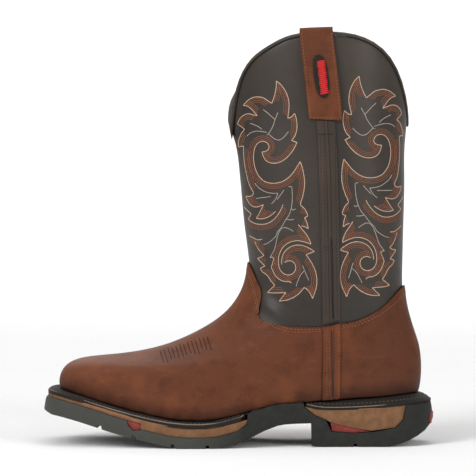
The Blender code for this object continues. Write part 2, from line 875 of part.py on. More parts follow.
def rim_frame(before, turn, after):
    """At the collar: the outward direction, and the way up that keeps a line level with the rim."""
    small = 0.004
    step = 0.02
    round_way = minus(loop_point(TOP_ROW, turn + small), loop_point(TOP_ROW, turn - small))
    up_way = minus(loop_point(TOP_ROW, turn), loop_point(TOP_ROW - step, turn))
    out = cross(up_way, round_way)
    here = loop_point(TOP_ROW, turn)
    first = moved((0.0, 0.0, 0.0), cross(minus(here, loop_point(TOP_ROW, before)), out), 1.0)
    second = moved((0.0, 0.0, 0.0), cross(minus(loop_point(TOP_ROW, after), here), out), 1.0)
    level = 1 + sum(a * b for a, b in zip(first, second))
    return out, tuple((a + b) / level for a, b in zip(first, second))


def build_binding():
    """The rolled edge along the collar, resting on the rim of the upper."""
    rings = []
    half = UPPER_WALL / 2 + BINDING_OVERHANG
    profile = ((half, 0.0), (half, 0.6), (0.0, 1.0), (-half, 0.6), (-half, 0.0))
    count = len(UPPER_TURNS)
    for i, turn in enumerate(UPPER_TURNS):
        out, up_way = rim_frame(UPPER_TURNS[i - 1], turn, UPPER_TURNS[(i + 1) % count])
        middle = loop_point(TOP_ROW, turn, -UPPER_WALL / 2)
        ring = []
        for across, share in profile:
            rise = BINDING_GAP + share * BINDING_HEIGHT
            raised = tuple(a + b * rise for a, b in zip(middle, up_way))
            ring.append(moved(raised, out, across))
        rings.append(ring)
    return lofted("collar_binding", rings, "shaft_leather", round_trip=True)


def strap_path(side):
    """Stations of a pull strap: loop number, height above the rim and offset of its inner face."""
    top = loop_point(TOP_ROW, side * SEAM_AT)[2]
    clear = BINDING_OVERHANG + 0.5 * MM
    fold = UPPER_WALL / 2 + clear
    stations = []
    steps = 8
    for i in range(steps + 1):
        share = i / steps
        v = row_at_height(side * SEAM_AT, top - STRAP_LENGTH * (1 - share) - 1 * MM)
        bulge = math.sin(math.pi * share) * STRAP_BULGE
        stations.append((v, 0.0, mix(GAP, clear, share) + bulge, 0.0))
    turns = 6
    for i in range(turns + 1):
        angle = math.pi * i / turns
        stations.append((TOP_ROW, BINDING_HEIGHT + BINDING_GAP, fold, angle))
    for i in range(steps + 1):
        share = i / steps
        v = row_at_height(side * SEAM_AT, top - STRAP_INNER_LENGTH * share - 1 * MM)
        stations.append((v, 0.0, -UPPER_WALL - clear, math.pi))
    return stations


def strap_section(side, v, rise, offset, angle, depth, across):
    """One point of a strap: depth is from its inner face outwards."""
    if rise == 0.0:
        sign = 1 if angle == 0.0 else -1
        return seam_point(v, across, side, offset + sign * depth)
    middle = seam_point(v, across, side, -UPPER_WALL / 2)
    outside = minus(seam_point(v, across, side, 0.0), middle)
    radius = offset + depth
    lifted = (middle[0], middle[1], middle[2] + rise * 0.35 + math.sin(angle) * (radius + rise * 0.3))
    return moved(lifted, outside, math.cos(angle) * radius)


def build_strap(name, side):
    half = STRAP_WIDTH / 2
    across = (-half, -half / 3, half / 3, half)
    corners = [(place, 0.0) for place in across] + [(place, STRAP_THICKNESS) for place in across[::-1]]
    rings = []
    for v, rise, offset, angle in strap_path(side):
        ring = [strap_section(side, v, rise, offset, angle, depth, place) for place, depth in corners]
        rings.append(ring)
    return lofted(name, rings, "brown_leather")


def build_patch():
    """A blank oval patch on the lateral pull strap."""
    top = loop_point(TOP_ROW, LATERAL * SEAM_AT)[2]
    centre = top - STRAP_LENGTH * 0.505
    layers = ([], [])
    for i in range(13):
        part = math.sin(math.pi / 2 * mix(-0.97, 0.97, i / 12))
        height = centre + part * PATCH_LENGTH / 2
        reach = (1 - abs(part) ** 2.6) ** (1 / 2.6) * PATCH_WIDTH / 2
        share = 1 - (top - 1 * MM - height) / STRAP_LENGTH
        clear = BINDING_OVERHANG + 0.5 * MM
        offset = mix(GAP, clear, share) + math.sin(math.pi * share) * STRAP_BULGE + STRAP_THICKNESS
        v = row_at_height(LATERAL * SEAM_AT, height)
        for layer, depth in zip(layers, (offset + GAP + PATCH_THICKNESS, offset + GAP)):
            layer.append([seam_point(v, reach * across, LATERAL, depth) for across in (-1, -0.5, 0, 0.5, 1)])
    return shell("strap_patch", layers[0], layers[1], "black_rubber", False)


def build_welt():
    """The storm welt: a flat band under the upper, a raised rib beside it and a ribbed ledge."""
    shares = [s for s in zone_turns(8, 14, 3, 3) if sole_point(s, 0.0)[0] <= WELT_END * SOLE_LENGTH]
    turns = [-s for s in reversed(shares)] + shares[1:]
    rings = []
    for turn in turns:
        rings.append(ledge_section(turn, WELT_DROP, WELT_THICKNESS, 3))
    return lofted("welt", rings, "black_rubber")


def ledge_place(turn, share, height):
    """A place on the ledge round the upper: share 0 is the upper's face and 1 the sole's edge."""
    base = loop_point(0.0, turn)
    wall = loop_point(0.0, turn, OVERLAY_GAP + OVERLAY_THICKNESS + GAP)
    x, y = sole_point(turn, SIDEWALL_STEP)
    px = mix(wall[0], x, share)
    level = mix(feather(base[0]), feather(x), share)
    return (px, mix(wall[1], y, share), level + height)


def ledge_section(turn, drop, edge, ribs):
    """A section of the ledge round the upper, from its inner edge out to the sole's edge."""
    inner = loop_point(0.0, turn, -UPPER_WALL)
    bottom = -drop - edge
    ring = [(inner[0], inner[1], feather(inner[0]) + bottom)]
    ring.append((inner[0], inner[1], feather(inner[0]) - GAP))
    ring.append(ledge_place(turn, 0.0, -GAP))
    for i in range(ribs):
        share = 0.16 + 0.72 * i / ribs
        ring.append(ledge_place(turn, share, -drop * share - RIB_HEIGHT * 0.6))
        top = share + 0.72 * 0.5 / ribs
        ring.append(ledge_place(turn, top, -drop * (share + 0.12) + RIB_HEIGHT * 0.4))
    outer = ledge_place(turn, 1.0, -drop)
    ring.append(outer)
    ring.append((outer[0], outer[1], feather(outer[0]) + bottom))
    middle = ledge_place(turn, 0.3, 0.0)
    ring.append((middle[0], middle[1], feather(middle[0]) + bottom))
    return ring


def build_heel_rim():
    """The moulded rim that cups the heel, closing the upper from below."""
    start = RIM_START * SOLE_LENGTH
    shares = [s for s in zone_turns(8, 30, 4, 10) if sole_point(s, 0.0)[0] >= start]
    rings = []
    for share in shares:
        depth = rim_depth(sole_point(share, SIDEWALL_STEP)[0])
        profile = ((0.0, -2 * GAP), (0.35, -2 * GAP - depth * 0.16), (1.0, -depth * RIM_EDGE), (1.0, -depth))
        lateral = [ledge_place(-share, *row) for row in profile]
        medial = [ledge_place(share, *row) for row in profile]
        rings.append(lateral + medial[::-1])
    return lofted("heel_rim", rings, "black_rubber")


def sampled(low, high, count):
    return [mix(low, high, i / count) for i in range(count + 1)]


def sole_plan(name, inset):
    """The sole's outline pulled up as a helper solid that trims a side profile."""
    shares = zone_turns(9, 16, 3, 8)
    turns = full_turns(shares)
    outline = [sole_point(turn, inset) for turn in turns]
    return prism(name, outline, "Z", -20 * MM, 90 * MM)


def build_midsole():
    """The tan layer under the welt: thin round the toe, thick from the ball to the waist."""
    toe = -SOLE_LENGTH / 2 - 1 * MM
    step = PLUG_BACK * SOLE_LENGTH
    end = MIDSOLE_END * SOLE_LENGTH
    upper_line = [(x, feather(x) - MIDSOLE_TOP) for x in sampled(toe, end, 24)]
    lower_line = [(end, feather(end) - MIDSOLE_TOP - MIDSOLE_THICK * 0.4)]
    for x in reversed(sampled(step, end - 8 * MM, 9)):
        lower_line.append((x, feather(x) - MIDSOLE_TOP - MIDSOLE_THICK))
    for x in reversed(sampled(toe, step, 14)):
        lower_line.append((x, feather(x) - MIDSOLE_TOP - MIDSOLE_THIN))
    midsole = prism("midsole", upper_line + lower_line, "Y", -BALL_WIDTH, BALL_WIDTH, "tan_midsole")
    boolean(midsole, sole_plan("midsole_plan", SIDEWALL_STEP), "INTERSECT")
    return midsole


def rim_underside(x):
    return feather(x) - rim_depth(x) - GAP


def wedge_point(place, share):
    x = place * SOLE_LENGTH
    return (x, share * rim_underside(x))


def build_heel_wedges():
    """The tan wedge between the heel rim and the heel, and the red inlay under its front."""
    tops = sampled(HEEL_WEDGE[0][0] * SOLE_LENGTH, HEEL_WEDGE[-1][0] * SOLE_LENGTH, 8)
    upper_line = [(x, rim_underside(x)) for x in reversed(tops)]
    inlay_line = [wedge_point(*row) for row in WEDGE_INLAY]
    lower = [wedge_point(place, share) for place, share in HEEL_WEDGE[1:-1]]
    front = lower[:2]
    back = lower[5:]
    tan = front + inlay_line[:-1] + [(inlay_line[-1][0] + GAP, inlay_line[-1][1])] + back + upper_line
    wedge = prism("heel_wedge", tan, "Y", -BALL_WIDTH, BALL_WIDTH, "tan_midsole")
    boolean(wedge, sole_plan("wedge_plan", SIDEWALL_STEP), "INTERSECT")
    floor = [lower[2], lower[3], (inlay_line[-1][0] - GAP, lower[4][1])]
    red = floor + [(x, z - GAP) for x, z in reversed(inlay_line[:-1])]
    inlay = prism("heel_inlay", red, "Y", -BALL_WIDTH, BALL_WIDTH, "red_rubber")
    boolean(inlay, sole_plan("inlay_plan", SIDEWALL_STEP), "INTERSECT")
    return wedge, inlay


def plug_outline(grow):
    front = PLUG_FRONT * SOLE_LENGTH
    back = PLUG_BACK * SOLE_LENGTH
    top = feather(front) - MIDSOLE_TOP - MIDSOLE_THIN - GAP
    depth = MIDSOLE_THICK
    return [
        (front - grow, top + grow),
        (back + grow, feather(back) - MIDSOLE_TOP - MIDSOLE_THIN - GAP + grow),
        (back + grow, top - depth * 1.05 - grow),
        (mix(front, back, 0.45), top - depth * 1.2 - grow),
        (front + 1 * MM - grow, top - depth * 0.6),
    ]


def build_plugs():
    """Small red plugs let into both sides of the sole ahead of the thick midsole."""
    middle = (PLUG_FRONT + PLUG_BACK) / 2 * SOLE_LENGTH
    plugs = []
    for name, side in (("red_plug_lateral", LATERAL), ("red_plug_medial", MEDIAL)):
        inside = side * (sole_side(middle, side) - PLUG_DEPTH)
        outside = side * BALL_WIDTH
        outline = plug_outline(-GAP / 2)
        plug = prism(name, outline, "Y", min(inside, outside), max(inside, outside), "red_rubber")
        boolean(plug, sole_plan(name + "_plan", SIDEWALL_STEP), "INTERSECT")
        plugs.append(plug)
    return plugs


def with_grooves(line, places):
    """A lower line with a notch cut into it at each place."""
    cut = []
    height = line_through(line)
    half = LUG_GROOVE_WIDTH / 2
    starts = [place * SOLE_LENGTH for place in places]
    for x, z in line:
        if all(abs(x - centre) > half + 0.5 * MM for centre in starts):
            cut.append((x, z))
    for centre in starts:
        low = height(centre - half)
        high = height(centre + half)
        cut.append((centre - half, low))
        cut.append((centre - half * 0.75, low + LUG_GROOVE_DEPTH))
        cut.append((centre + half * 0.75, high + LUG_GROOVE_DEPTH))
        cut.append((centre + half, high))
    return sorted(cut)


def underside():
    """The outsole's lower line from the toe to the top of the heel's back."""
    toe = -SOLE_LENGTH / 2
    ball_end = SHANK_LINE[0][0] * SOLE_LENGTH
    line = [(x, feather(x) - FOREPART_THICKNESS) for x in sampled(toe + 9 * MM, ball_end, 22)]
    line += [(x, shank_height(x)) for x in sampled(ball_end + 5 * MM, BREAST_PLACE * SOLE_LENGTH, 14)]
    line = with_grooves(line, FOREPART_GROOVES)
    breast = BREAST_PLACE * SOLE_LENGTH
    heel = [(breast + 0.5 * MM, 1.2 * MM), (breast + 10 * MM, 0.0)]
    heel.append((HEEL_BACK_CURVE[0][0] * SOLE_LENGTH, 0.0))
    heel = with_grooves(heel, HEEL_GROOVES)
    top = feather(SOLE_LENGTH / 2)
    back = [(place * SOLE_LENGTH, share * (top - HEEL_RIM_HEIGHT)) for place, share in HEEL_BACK_CURVE[1:]]
    front = [(toe + 1.5 * MM, feather(toe) - FOREPART_THICKNESS + 2.0 * MM)]
    return front + line + heel + back


def outsole_top():
    """The outsole's upper line from the back of the heel to the toe, with its recesses."""
    end = SOLE_LENGTH / 2
    wedge = [wedge_point(place, share) for place, share in HEEL_WEDGE]
    line = [(end - 1.5 * MM, rim_underside(end))]
    line.append((wedge[-1][0] + GAP, rim_underside(wedge[-1][0])))
    for x, z in reversed(wedge[4:-1]):
        line.append((x + GAP, z - GAP))
    for x, z in reversed(wedge[1:4]):
        line.append((x - GAP, z - GAP))
    rim = RIM_START * SOLE_LENGTH
    line.append((rim - GAP, rim_underside(rim) - GAP))
    line.append((rim - GAP, feather(rim) - WAIST_GAP))
    waist = MIDSOLE_END * SOLE_LENGTH + GAP
    for x in reversed(sampled(waist, rim - 4 * MM, 8)):
        line.append((x, feather(x) - WAIST_GAP))
    step = PLUG_BACK * SOLE_LENGTH
    inner = MIDSOLE_END * SOLE_LENGTH
    line.append((waist, feather(inner) - MIDSOLE_TOP - MIDSOLE_THICK * 0.4 - GAP))
    for x in reversed(sampled(step, inner - 8 * MM, 9)):
        line.append((x, feather(x) - MIDSOLE_TOP - MIDSOLE_THICK - GAP))
    toe = -SOLE_LENGTH / 2
    for x in reversed(sampled(toe + 2.5 * MM, step - GAP, 14)):
        line.append((x, feather(x) - MIDSOLE_TOP - MIDSOLE_THIN - GAP))
    line.append((toe, feather(toe) - FOREPART_THICKNESS + 9 * MM))
    return line


def build_outsole():
    outsole = prism("outsole", underside() + outsole_top(), "Y", -BALL_WIDTH, BALL_WIDTH, "black_rubber")
    boolean(outsole, sole_plan("outsole_plan", 0.0), "INTERSECT")
    middle = (PLUG_FRONT + PLUG_BACK) / 2 * SOLE_LENGTH
    for name, side in (("lateral_socket", LATERAL), ("medial_socket", MEDIAL)):
        inside = side * (sole_side(middle, side) - PLUG_DEPTH - GAP)
        outside = side * BALL_WIDTH
        outline = plug_outline(GAP / 2)
        socket = prism(name, outline, "Y", min(inside, outside), max(inside, outside))
        boolean(outsole, socket, "DIFFERENCE")
    return outsole


def build_badge():
    """A blank red plate at the back of the heel."""
    top = feather(SOLE_LENGTH / 2) - HEEL_RIM_HEIGHT
    profile = line_through([(share * top, place * SOLE_LENGTH) for place, share in HEEL_BACK_CURVE[1:]])
    centre = 0.62 * top
    heights = [centre + BADGE_HEIGHT * part for part in (-0.5, 0.0, 0.5)]
    rings = []
    for y in sampled(-BADGE_WIDTH / 2, BADGE_WIDTH / 2, 10):
        half = sole_side(SOLE_LENGTH / 2, LATERAL if y < 0 else MEDIAL)
        curve = HEEL_ROUNDING * (1 - (1 - (abs(y) / half) ** 2.1) ** (1 / 2.1))
        face = [min(profile(z), SOLE_LENGTH / 2 - curve) + 2 * GAP for z in heights]
        inside = [(x, y, z) for x, z in zip(face, heights)]
        outside = [(x + BADGE_THICKNESS, y, z) for x, z in zip(face, heights)]
        rings.append(inside + outside[::-1])
    return lofted("heel_badge", rings, "red_rubber")


def build_insole():
    """The footbed inside the upper; in the forepart it also fills the space inside the welt."""
    fit = UPPER_WALL + 0.9 * MM
    step = MIDSOLE_END * SOLE_LENGTH - 1 * MM
    shares = zone_turns(7, 12, 2, 6)
    rings = []
    for share in shares:
        sides = []
        for turn in (-share, share):
            low = loop_point(0.0, turn, -fit)
            high = loop_point(0.35, turn, -fit)
            reach = min(abs(low[1]), abs(high[1]))
            sides.append((low[0], math.copysign(reach, turn)))
        filler = MIDSOLE_TOP - GAP if sides[0][0] < step else 0.0
        bottom = [(px, py, feather(px) - filler) for px, py in sides]
        top = [(px, py, feather(px) + INSOLE_THICKNESS) for px, py in sides]
        rings.append([bottom[0], bottom[1], top[1], top[0]])
    return lofted("insole", rings, "footbed")


def settle():
    """Put the origin on the floor under the middle of the whole boot."""
    view = bpy.context.evaluated_depsgraph_get()
    corners = []
    for obj in bpy.data.objects:
        if not obj.hide_render:
            corners += [tuple(corner) for corner in obj.evaluated_get(view).bound_box]
    middle = [(min(axis) + max(axis)) / 2 for axis in zip(*corners)]
    floor = min(corner[2] for corner in corners)
    for obj in bpy.data.objects:
        obj.data.transform(mathutils.Matrix.Translation((-middle[0], -middle[1], -floor)))


def main():
    clear_scene()
    build_upper()
    build_vamp()
    build_counter()
    edge = edge_height(VAMP_EDGE, 1.0)
    strap_foot = loop_point(TOP_ROW, SEAM_AT)[2] - STRAP_LENGTH - 1 * MM
    seam_foot = feather(seam_place(0.1 * COLLAR_PEAK)) + 1.5 * MM
    over = OVERLAY_GAP + OVERLAY_THICKNESS + 1.5 * GAP
    for word, side in (("lateral", LATERAL), ("medial", MEDIAL)):
        build_seam("shaft_seam_" + word, side, edge + 2 * MM, strap_foot - 1 * MM, GAP, "shaft_leather", 16)
        build_seam("foot_seam_" + word, side, seam_foot, edge - 0.5 * MM, over, "brown_leather", 12)
        build_strap("pull_strap_" + word, side)
    build_binding()
    build_patch()
    build_insole()
    build_welt()
    build_heel_rim()
    build_midsole()
    build_heel_wedges()
    build_plugs()
    build_outsole()
    build_badge()
    settle()


main()
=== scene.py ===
import math
from bisect import bisect_left

import bmesh
import bpy
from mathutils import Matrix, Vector
from mathutils.bvhtree import BVHTree
from mathutils.kdtree import KDTree


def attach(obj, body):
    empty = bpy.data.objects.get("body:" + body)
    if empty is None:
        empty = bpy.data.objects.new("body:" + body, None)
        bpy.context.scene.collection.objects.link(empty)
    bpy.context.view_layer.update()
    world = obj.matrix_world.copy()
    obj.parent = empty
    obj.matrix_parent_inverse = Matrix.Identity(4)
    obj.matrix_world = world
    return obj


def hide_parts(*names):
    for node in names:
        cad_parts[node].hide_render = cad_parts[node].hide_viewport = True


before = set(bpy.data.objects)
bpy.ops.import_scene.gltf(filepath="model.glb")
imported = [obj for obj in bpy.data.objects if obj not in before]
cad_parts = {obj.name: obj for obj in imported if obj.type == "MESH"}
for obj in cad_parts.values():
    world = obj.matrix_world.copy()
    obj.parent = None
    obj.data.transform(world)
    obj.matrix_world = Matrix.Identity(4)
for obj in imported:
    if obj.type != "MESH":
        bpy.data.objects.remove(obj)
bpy.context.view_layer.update()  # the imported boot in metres: toe -X, outer side -Y, shaft +Z
mm = 0.001
upright = Vector((0, 0, 1))
outer, inner = -1, 1  # the boot's two sides, as signs of Y


# Camera, as the photo was taken

camera = {
    "azimuth": 1.93,
    "elevation": 1.66,
    "distance": 2.6,
    "lens": 237.86,
    "sensor": 36,
    "far clip": 30,
    "frame": 476,
    "aim": (-0.0008, 0.0, 0.1694),
    "reach": 5.0,
}
turn, rise = math.radians(camera["azimuth"]), math.radians(camera["elevation"])
viewBack = Vector((math.sin(turn) * math.cos(rise), -math.cos(turn) * math.cos(rise), math.sin(rise)))
viewRight = Vector((math.cos(turn), math.sin(turn), 0.0))
viewUp = viewBack.cross(viewRight)
aim = Vector(camera["aim"])
eye = aim + viewBack * camera["distance"]
focal = camera["lens"] / camera["sensor"] * camera["frame"]  # in pixels
middlePixel = camera["frame"] / 2

bpy.context.scene.view_settings.view_transform = "Standard"


def addCamera():
    aimed = (-viewBack).to_track_quat("-Z", "Y").to_euler()
    bpy.ops.object.camera_add(location=eye, rotation=aimed)
    seen = bpy.context.object
    seen.data.lens = camera["lens"]
    seen.data.sensor_width = camera["sensor"]
    seen.data.clip_end = camera["far clip"]
    bpy.context.scene.camera = seen


def photoRay(px, py):  # direction from the eye through a pixel of the photo
    across, down = (px - middlePixel) / focal, (py - middlePixel) / focal
    return (viewRight * across - viewUp * down - viewBack).normalized()


def seenOn(tree, px, py):  # the place of a surface that this pixel of the photo shows
    return tree.ray_cast(eye, photoRay(px, py), camera["reach"])[0]


# Small tools

weld = 0.02 * mm  # corners closer than this are one
quadAngle = math.radians(60)
bevelAngle = math.radians(35)


def pick(*objects):
    bpy.ops.object.select_all(action="DESELECT")
    for one in objects:
        one.select_set(True)
    bpy.context.view_layer.objects.active = objects[0]


def useModifier(piece, kind, **settings):
    pick(piece)
    modifier = piece.modifiers.new(kind.lower(), kind)
    for name, value in settings.items():
        setattr(modifier, name, value)
    bpy.ops.object.modifier_apply(modifier=modifier.name)


def bevel(piece, width):
    sharp = {"limit_method": "ANGLE", "angle_limit": bevelAngle}
    useModifier(piece, "BEVEL", width=width, segments=2, **sharp)


def copyOfNode(node, name):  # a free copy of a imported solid, with its quads put back together
    piece = bpy.data.objects.new(name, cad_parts[node].data.copy())
    bpy.context.scene.collection.objects.link(piece)
    pick(piece)
    bpy.ops.mesh.customdata_custom_splitnormals_clear()
    bpy.ops.object.mode_set(mode="EDIT")
    bpy.ops.mesh.select_all(action="SELECT")
    bpy.ops.mesh.remove_doubles(threshold=weld)
    bpy.ops.mesh.tris_convert_to_quads(face_threshold=quadAngle, shape_threshold=quadAngle)
    bpy.ops.mesh.normals_make_consistent(inside=False)
    bpy.ops.object.mode_set(mode="OBJECT")
    piece.data.materials.clear()
    return piece


def selectEdges(piece, wanted):
    bpy.ops.mesh.select_all(action="DESELECT")
    shape = bmesh.from_edit_mesh(piece.data)
    for edge in shape.edges:
        edge.select = all(wanted(vert.co) for vert in edge.verts)
    shape.select_flush_mode()
    bmesh.update_edit_mesh(piece.data)


def share(value):  # held between 0 and 1
    return max(0.0, min(1.0, value))


def wayAt(path, i):  # the direction of a path at one of its points
    return (path[min(i + 1, len(path) - 1)] - path[max(i - 1, 0)]).normalized()


def finishPiece(piece, material, slot, *nodes, sharp=None):
    piece.data.materials.clear()
    piece.data.materials.append(material)
    pick(piece)
    if sharp is None:
        bpy.ops.object.shade_smooth()
    else:
        bpy.ops.object.shade_smooth_by_angle(angle=math.radians(sharp))
    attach(piece, "root")
    if nodes:
        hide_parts(*nodes)
    return piece


# Materials

class Wire:  # a node's output in an expression
    def __init__(self, finish, socket):
        self.finish = finish
        self.socket = socket

    def math(self, operation, other, clamp=False):
        settings = {"operation": operation, "use_clamp": clamp}
        return self.finish.node("ShaderNodeMath", settings, {0: self, 1: other})

    def __add__(self, other):
        return self.math("ADD", other)

    def __mul__(self, other):
        return self.math("MULTIPLY", other)

    __radd__ = __add__
    __rmul__ = __mul__

    def clamped(self):
        return self.math("ADD", 0.0, clamp=True)

    def between(self, low, high):  # 0 at low, 1 at high, smooth on the way
        sockets = {"Value": self, "From Min": low, "From Max": high}
        return self.finish.node("ShaderNodeMapRange", {"interpolation_type": "SMOOTHSTEP"}, sockets)


class Finish:  # one material with its Principled shader
    def __init__(self, name, **fixed):
        self.material = bpy.data.materials.new(name)
        self.material.use_nodes = True
        self.tree = self.material.node_tree
        self.shader = self.tree.nodes["Principled BSDF"]
        for socket, value in fixed.items():
            self.shader.inputs[socket.replace("_", " ")].default_value = value
        self.place = self.node("ShaderNodeTexCoord", {}, {}, "Object")

    def node(self, kind, settings, sockets, output=0):
        node = self.tree.nodes.new(kind)
        for name, value in settings.items():
            setattr(node, name, value)
        for name, value in sockets.items():
            if isinstance(value, Wire):
                self.tree.links.new(value.socket, node.inputs[name])
            else:
                node.inputs[name].default_value = value
        return Wire(self, node.outputs[output])

    def stretched(self, x, y, z):
        return self.node("ShaderNodeVectorMath", {"operation": "MULTIPLY"}, {0: self.place, 1: (x, y, z)})

    def noise(self, scale, detail=3.0, roughness=0.5, where=None):
        sockets = {"Vector": where or self.place, "Scale": scale}
        sockets |= {"Detail": detail, "Roughness": roughness}
        return self.node("ShaderNodeTexNoise", {}, sockets)

    def cells(self, scale):
        return self.node("ShaderNodeTexVoronoi", {}, {"Vector": self.place, "Scale": scale})

    def weave(self, scale, direction):
        sockets = {"Vector": self.place, "Scale": scale, "Distortion": 1.0}
        return self.node("ShaderNodeTexWave", {"bands_direction": direction}, sockets)

    def painted(self, name):
        return self.node("ShaderNodeAttribute", {"attribute_name": name}, {}, "Fac")

    def blend(self, first, second, factor):  # colours, each a tuple or a wire
        first, second = [one if isinstance(one, Wire) else (*one, 1.0) for one in (first, second)]
        return self.node("ShaderNodeMix", {"data_type": "RGBA"}, {0: factor, 6: first, 7: second}, 2)

    def layered(self, colour, layers):
        for other, mask in layers:
            colour = self.blend(colour, other, mask)
        return colour

    def complete(self, colour, roughness=None, height=None, strength=0.0, depth=0.0):
        wires = {"Base Color": colour}
        if roughness is not None:
            wires["Roughness"] = roughness
        if height is not None:
            sockets = {"Strength": strength, "Distance": depth, "Height": height}
            wires["Normal"] = self.node("ShaderNodeBump", {}, sockets)
        for socket, wire in wires.items():
            self.tree.links.new(wire.socket, self.shader.inputs[socket])
        return self.material


def toned(colour, tone):
    return tuple(part * tone for part in colour)


brown = {
    "edge": (0.020, 0.007, 0.004),
    "dark": (0.050, 0.0135, 0.0058),
    "middle": (0.124, 0.0355, 0.0130),
    "light": (0.220, 0.078, 0.036),
    "orange": (0.215, 0.062, 0.020),
}


def addFootLeather(name, tone=1.0):
    finish = Finish(name, Specular_IOR_Level=0.22, Coat_Weight=0.03, Coat_Roughness=0.35)
    edge, dark, middle, light, orange = [toned(colour, tone) for colour in brown.values()]
    cloudy = finish.noise(70, 4.0, 0.62)
    streaks = finish.noise(80, 5.0, 0.68, finish.stretched(0.6, 0.6, 1.5))
    fine = finish.noise(620, 2.0, 0.6)
    colour = finish.layered(middle, (
        (orange, finish.noise(20, 3.0, 0.55).between(0.48, 0.68) * 0.6),
        (light, streaks.between(0.52, 0.80) * 0.45),
        (dark, cloudy.between(0.48, 0.75) * 0.42),
        (dark, finish.noise(34, 3.0, 0.6).between(0.55, 0.75) * 0.22),
        # painted highlight, then painted shade with the darker edges, then the dark cut edge
        (light, (finish.painted("painted_highlight") * (0.7 + 0.6 * cloudy)).clamped()),
        (dark, (finish.painted("painted_shade_and_dark_edges") * (0.75 + 0.5 * cloudy)).clamped()),
        (edge, finish.painted("cut").clamped()),
        (dark, fine.between(0.58, 0.82) * 0.4),
    ))
    grain = finish.cells(900) * 0.55 + finish.noise(2200, 2.0) * 0.35 + finish.noise(260) * 0.6
    return finish.complete(colour, 0.50 + 0.20 * cloudy + 0.06 * fine, grain, 0.42, 0.35 * mm)


charcoal = ((0.021, 0.0148, 0.0102), (0.041, 0.030, 0.0212), (0.072, 0.054, 0.042))
warmCharcoal = ((0.025, 0.0148, 0.0092), (0.047, 0.029, 0.0182), (0.080, 0.054, 0.036))


def addShaftLeather(name, dark, middle, light):
    finish = Finish(name, Specular_IOR_Level=0.42, Coat_Weight=0.08, Coat_Roughness=0.35)
    cloudy = finish.noise(90, 4.0, 0.6)
    drapes = finish.noise(22, 2.0, 0.5, finish.stretched(1.0, 1.0, 0.35))
    colour = finish.layered(middle, (
        (light, finish.noise(14).between(0.42, 0.72) * 0.6),
        (dark, cloudy.between(0.5, 0.8) * 0.45),
        # painted highlight, the darker drapes, then painted shade
        (light, finish.painted("painted_highlight").clamped()),
        (dark, drapes.between(0.42, 0.62) * 0.55),
        (dark, (finish.painted("painted_shade_and_dark_edges") * (0.7 + 0.6 * cloudy)).clamped()),
    ))
    grain = finish.cells(1250) * 0.5 + finish.noise(3000, 2.0) * 0.3 + finish.noise(200) * 0.5
    return finish.complete(colour, 0.38 + 0.18 * cloudy, grain, 0.3, 0.25 * mm)


def addPlain(name, first, second, cloud, spread, rough, grain, strength, depth, **fixed):
    finish = Finish(name, **fixed)
    cloudy = finish.noise(*cloud)
    colour = finish.blend(first, second, cloudy.between(*spread))
    roughness = rough and rough[0] + rough[1] * cloudy
    return finish.complete(colour, roughness, finish.noise(*grain), strength, depth * mm)


soleBlack = ((0.0105, 0.0105, 0.0088), (0.024, 0.024, 0.0205))
rimBlack = ((0.0060, 0.0042, 0.0029), (0.0145, 0.0103, 0.0075))
# pale rubber for the forepart: painted light where it faces the key light, and dust
litDustyBlack = (0.112, 0.114, 0.100)


def addRubber(name, dark, light):
    finish = Finish(name, Specular_IOR_Level=0.35)
    cloudy = finish.noise(120, 4.0, 0.6)
    dust = finish.noise(1500, 2.0, 0.7)
    colour = finish.layered(dark, (
        (light, (cloudy * 0.55 + dust * 0.45).between(0.35, 0.7)),
        # the forepart paler: painted light and dust
        (litDustyBlack, finish.painted("lit_and_dusty").clamped() * (0.28 + 0.2 * dust)),
    ))
    grain = finish.noise(1800, 2.0, 0.7) * 0.7 + finish.cells(700) * 0.3
    return finish.complete(colour, 0.62 + 0.2 * cloudy, grain, 0.4, 0.3 * mm)


foamTan = {"dark": (0.165, 0.074, 0.031), "light": (0.240, 0.122, 0.058), "line": (0.12, 0.055, 0.03)}


def addTanFoam(name, pale=1.0):
    finish = Finish(name, Specular_IOR_Level=0.3)
    cloudy = finish.noise(140, 4.0, 0.6)
    lines = finish.noise(240, 3.0, 0.6, finish.stretched(0.15, 0.15, 1.6))
    colour = finish.layered(toned(foamTan["dark"], pale), (
        (toned(foamTan["light"], pale), cloudy.between(0.3, 0.75)),
        (foamTan["line"], lines.between(0.55, 0.8) * 0.35),
    ))
    grain = finish.noise(1500, 2.0, 0.6) + lines
    return finish.complete(colour, 0.6 + 0.2 * cloudy, grain, 0.3, 0.25 * mm)


def addLining():
    return addPlain("tan lining leather", (0.20, 0.125, 0.070), (0.300, 0.200, 0.120), (60, 4.0, 0.6),
                    (0.35, 0.7), None, (900, 3.0, 0.6), 0.35, 0.3, Roughness=0.8, Specular_IOR_Level=0.3)


def addRedRubber():
    return addPlain("red rubber", (0.150, 0.015, 0.011), (0.250, 0.032, 0.022), (180, 3.0, 0.6),
                    (0.3, 0.7), (0.5, 0.15), (1400, 2.0, 0.6), 0.25, 0.2, Specular_IOR_Level=0.4)


def addFootbed():
    finish = Finish("footbed cloth", Specular_IOR_Level=0.2)
    cloudy = finish.noise(80, 3.0, 0.6)
    cloth = finish.weave(900, "X") * 0.5 + finish.weave(900, "Y") * 0.5
    colour = finish.blend((0.030, 0.026, 0.022), (0.085, 0.072, 0.060), cloudy.between(0.3, 0.7))
    return finish.complete(colour, 0.85 + 0.1 * cloudy, cloth, 0.5, 0.3 * mm)


footLeather = addFootLeather("oiled brown leather")
strapLeather = addFootLeather("strap leather", 0.95)
shaftLeather = addShaftLeather("smooth charcoal leather", *charcoal)
seamLeather = addShaftLeather("seam leather", *warmCharcoal)
liningLeather = addLining()
blackRubber = addRubber("black rubber", *soleBlack)
rimRubber = addRubber("rim rubber", *rimBlack)
tanFoam = addTanFoam("tan sole foam")
# painted highlight: a paler copy of the tan foam, for the thin lips along the welt and the heel rim
highlitFoam = addTanFoam("highlit sole foam", 1.3)
redRubber = addRedRubber()
footbedCloth = addFootbed()
print("materials ready")


# Stage and light

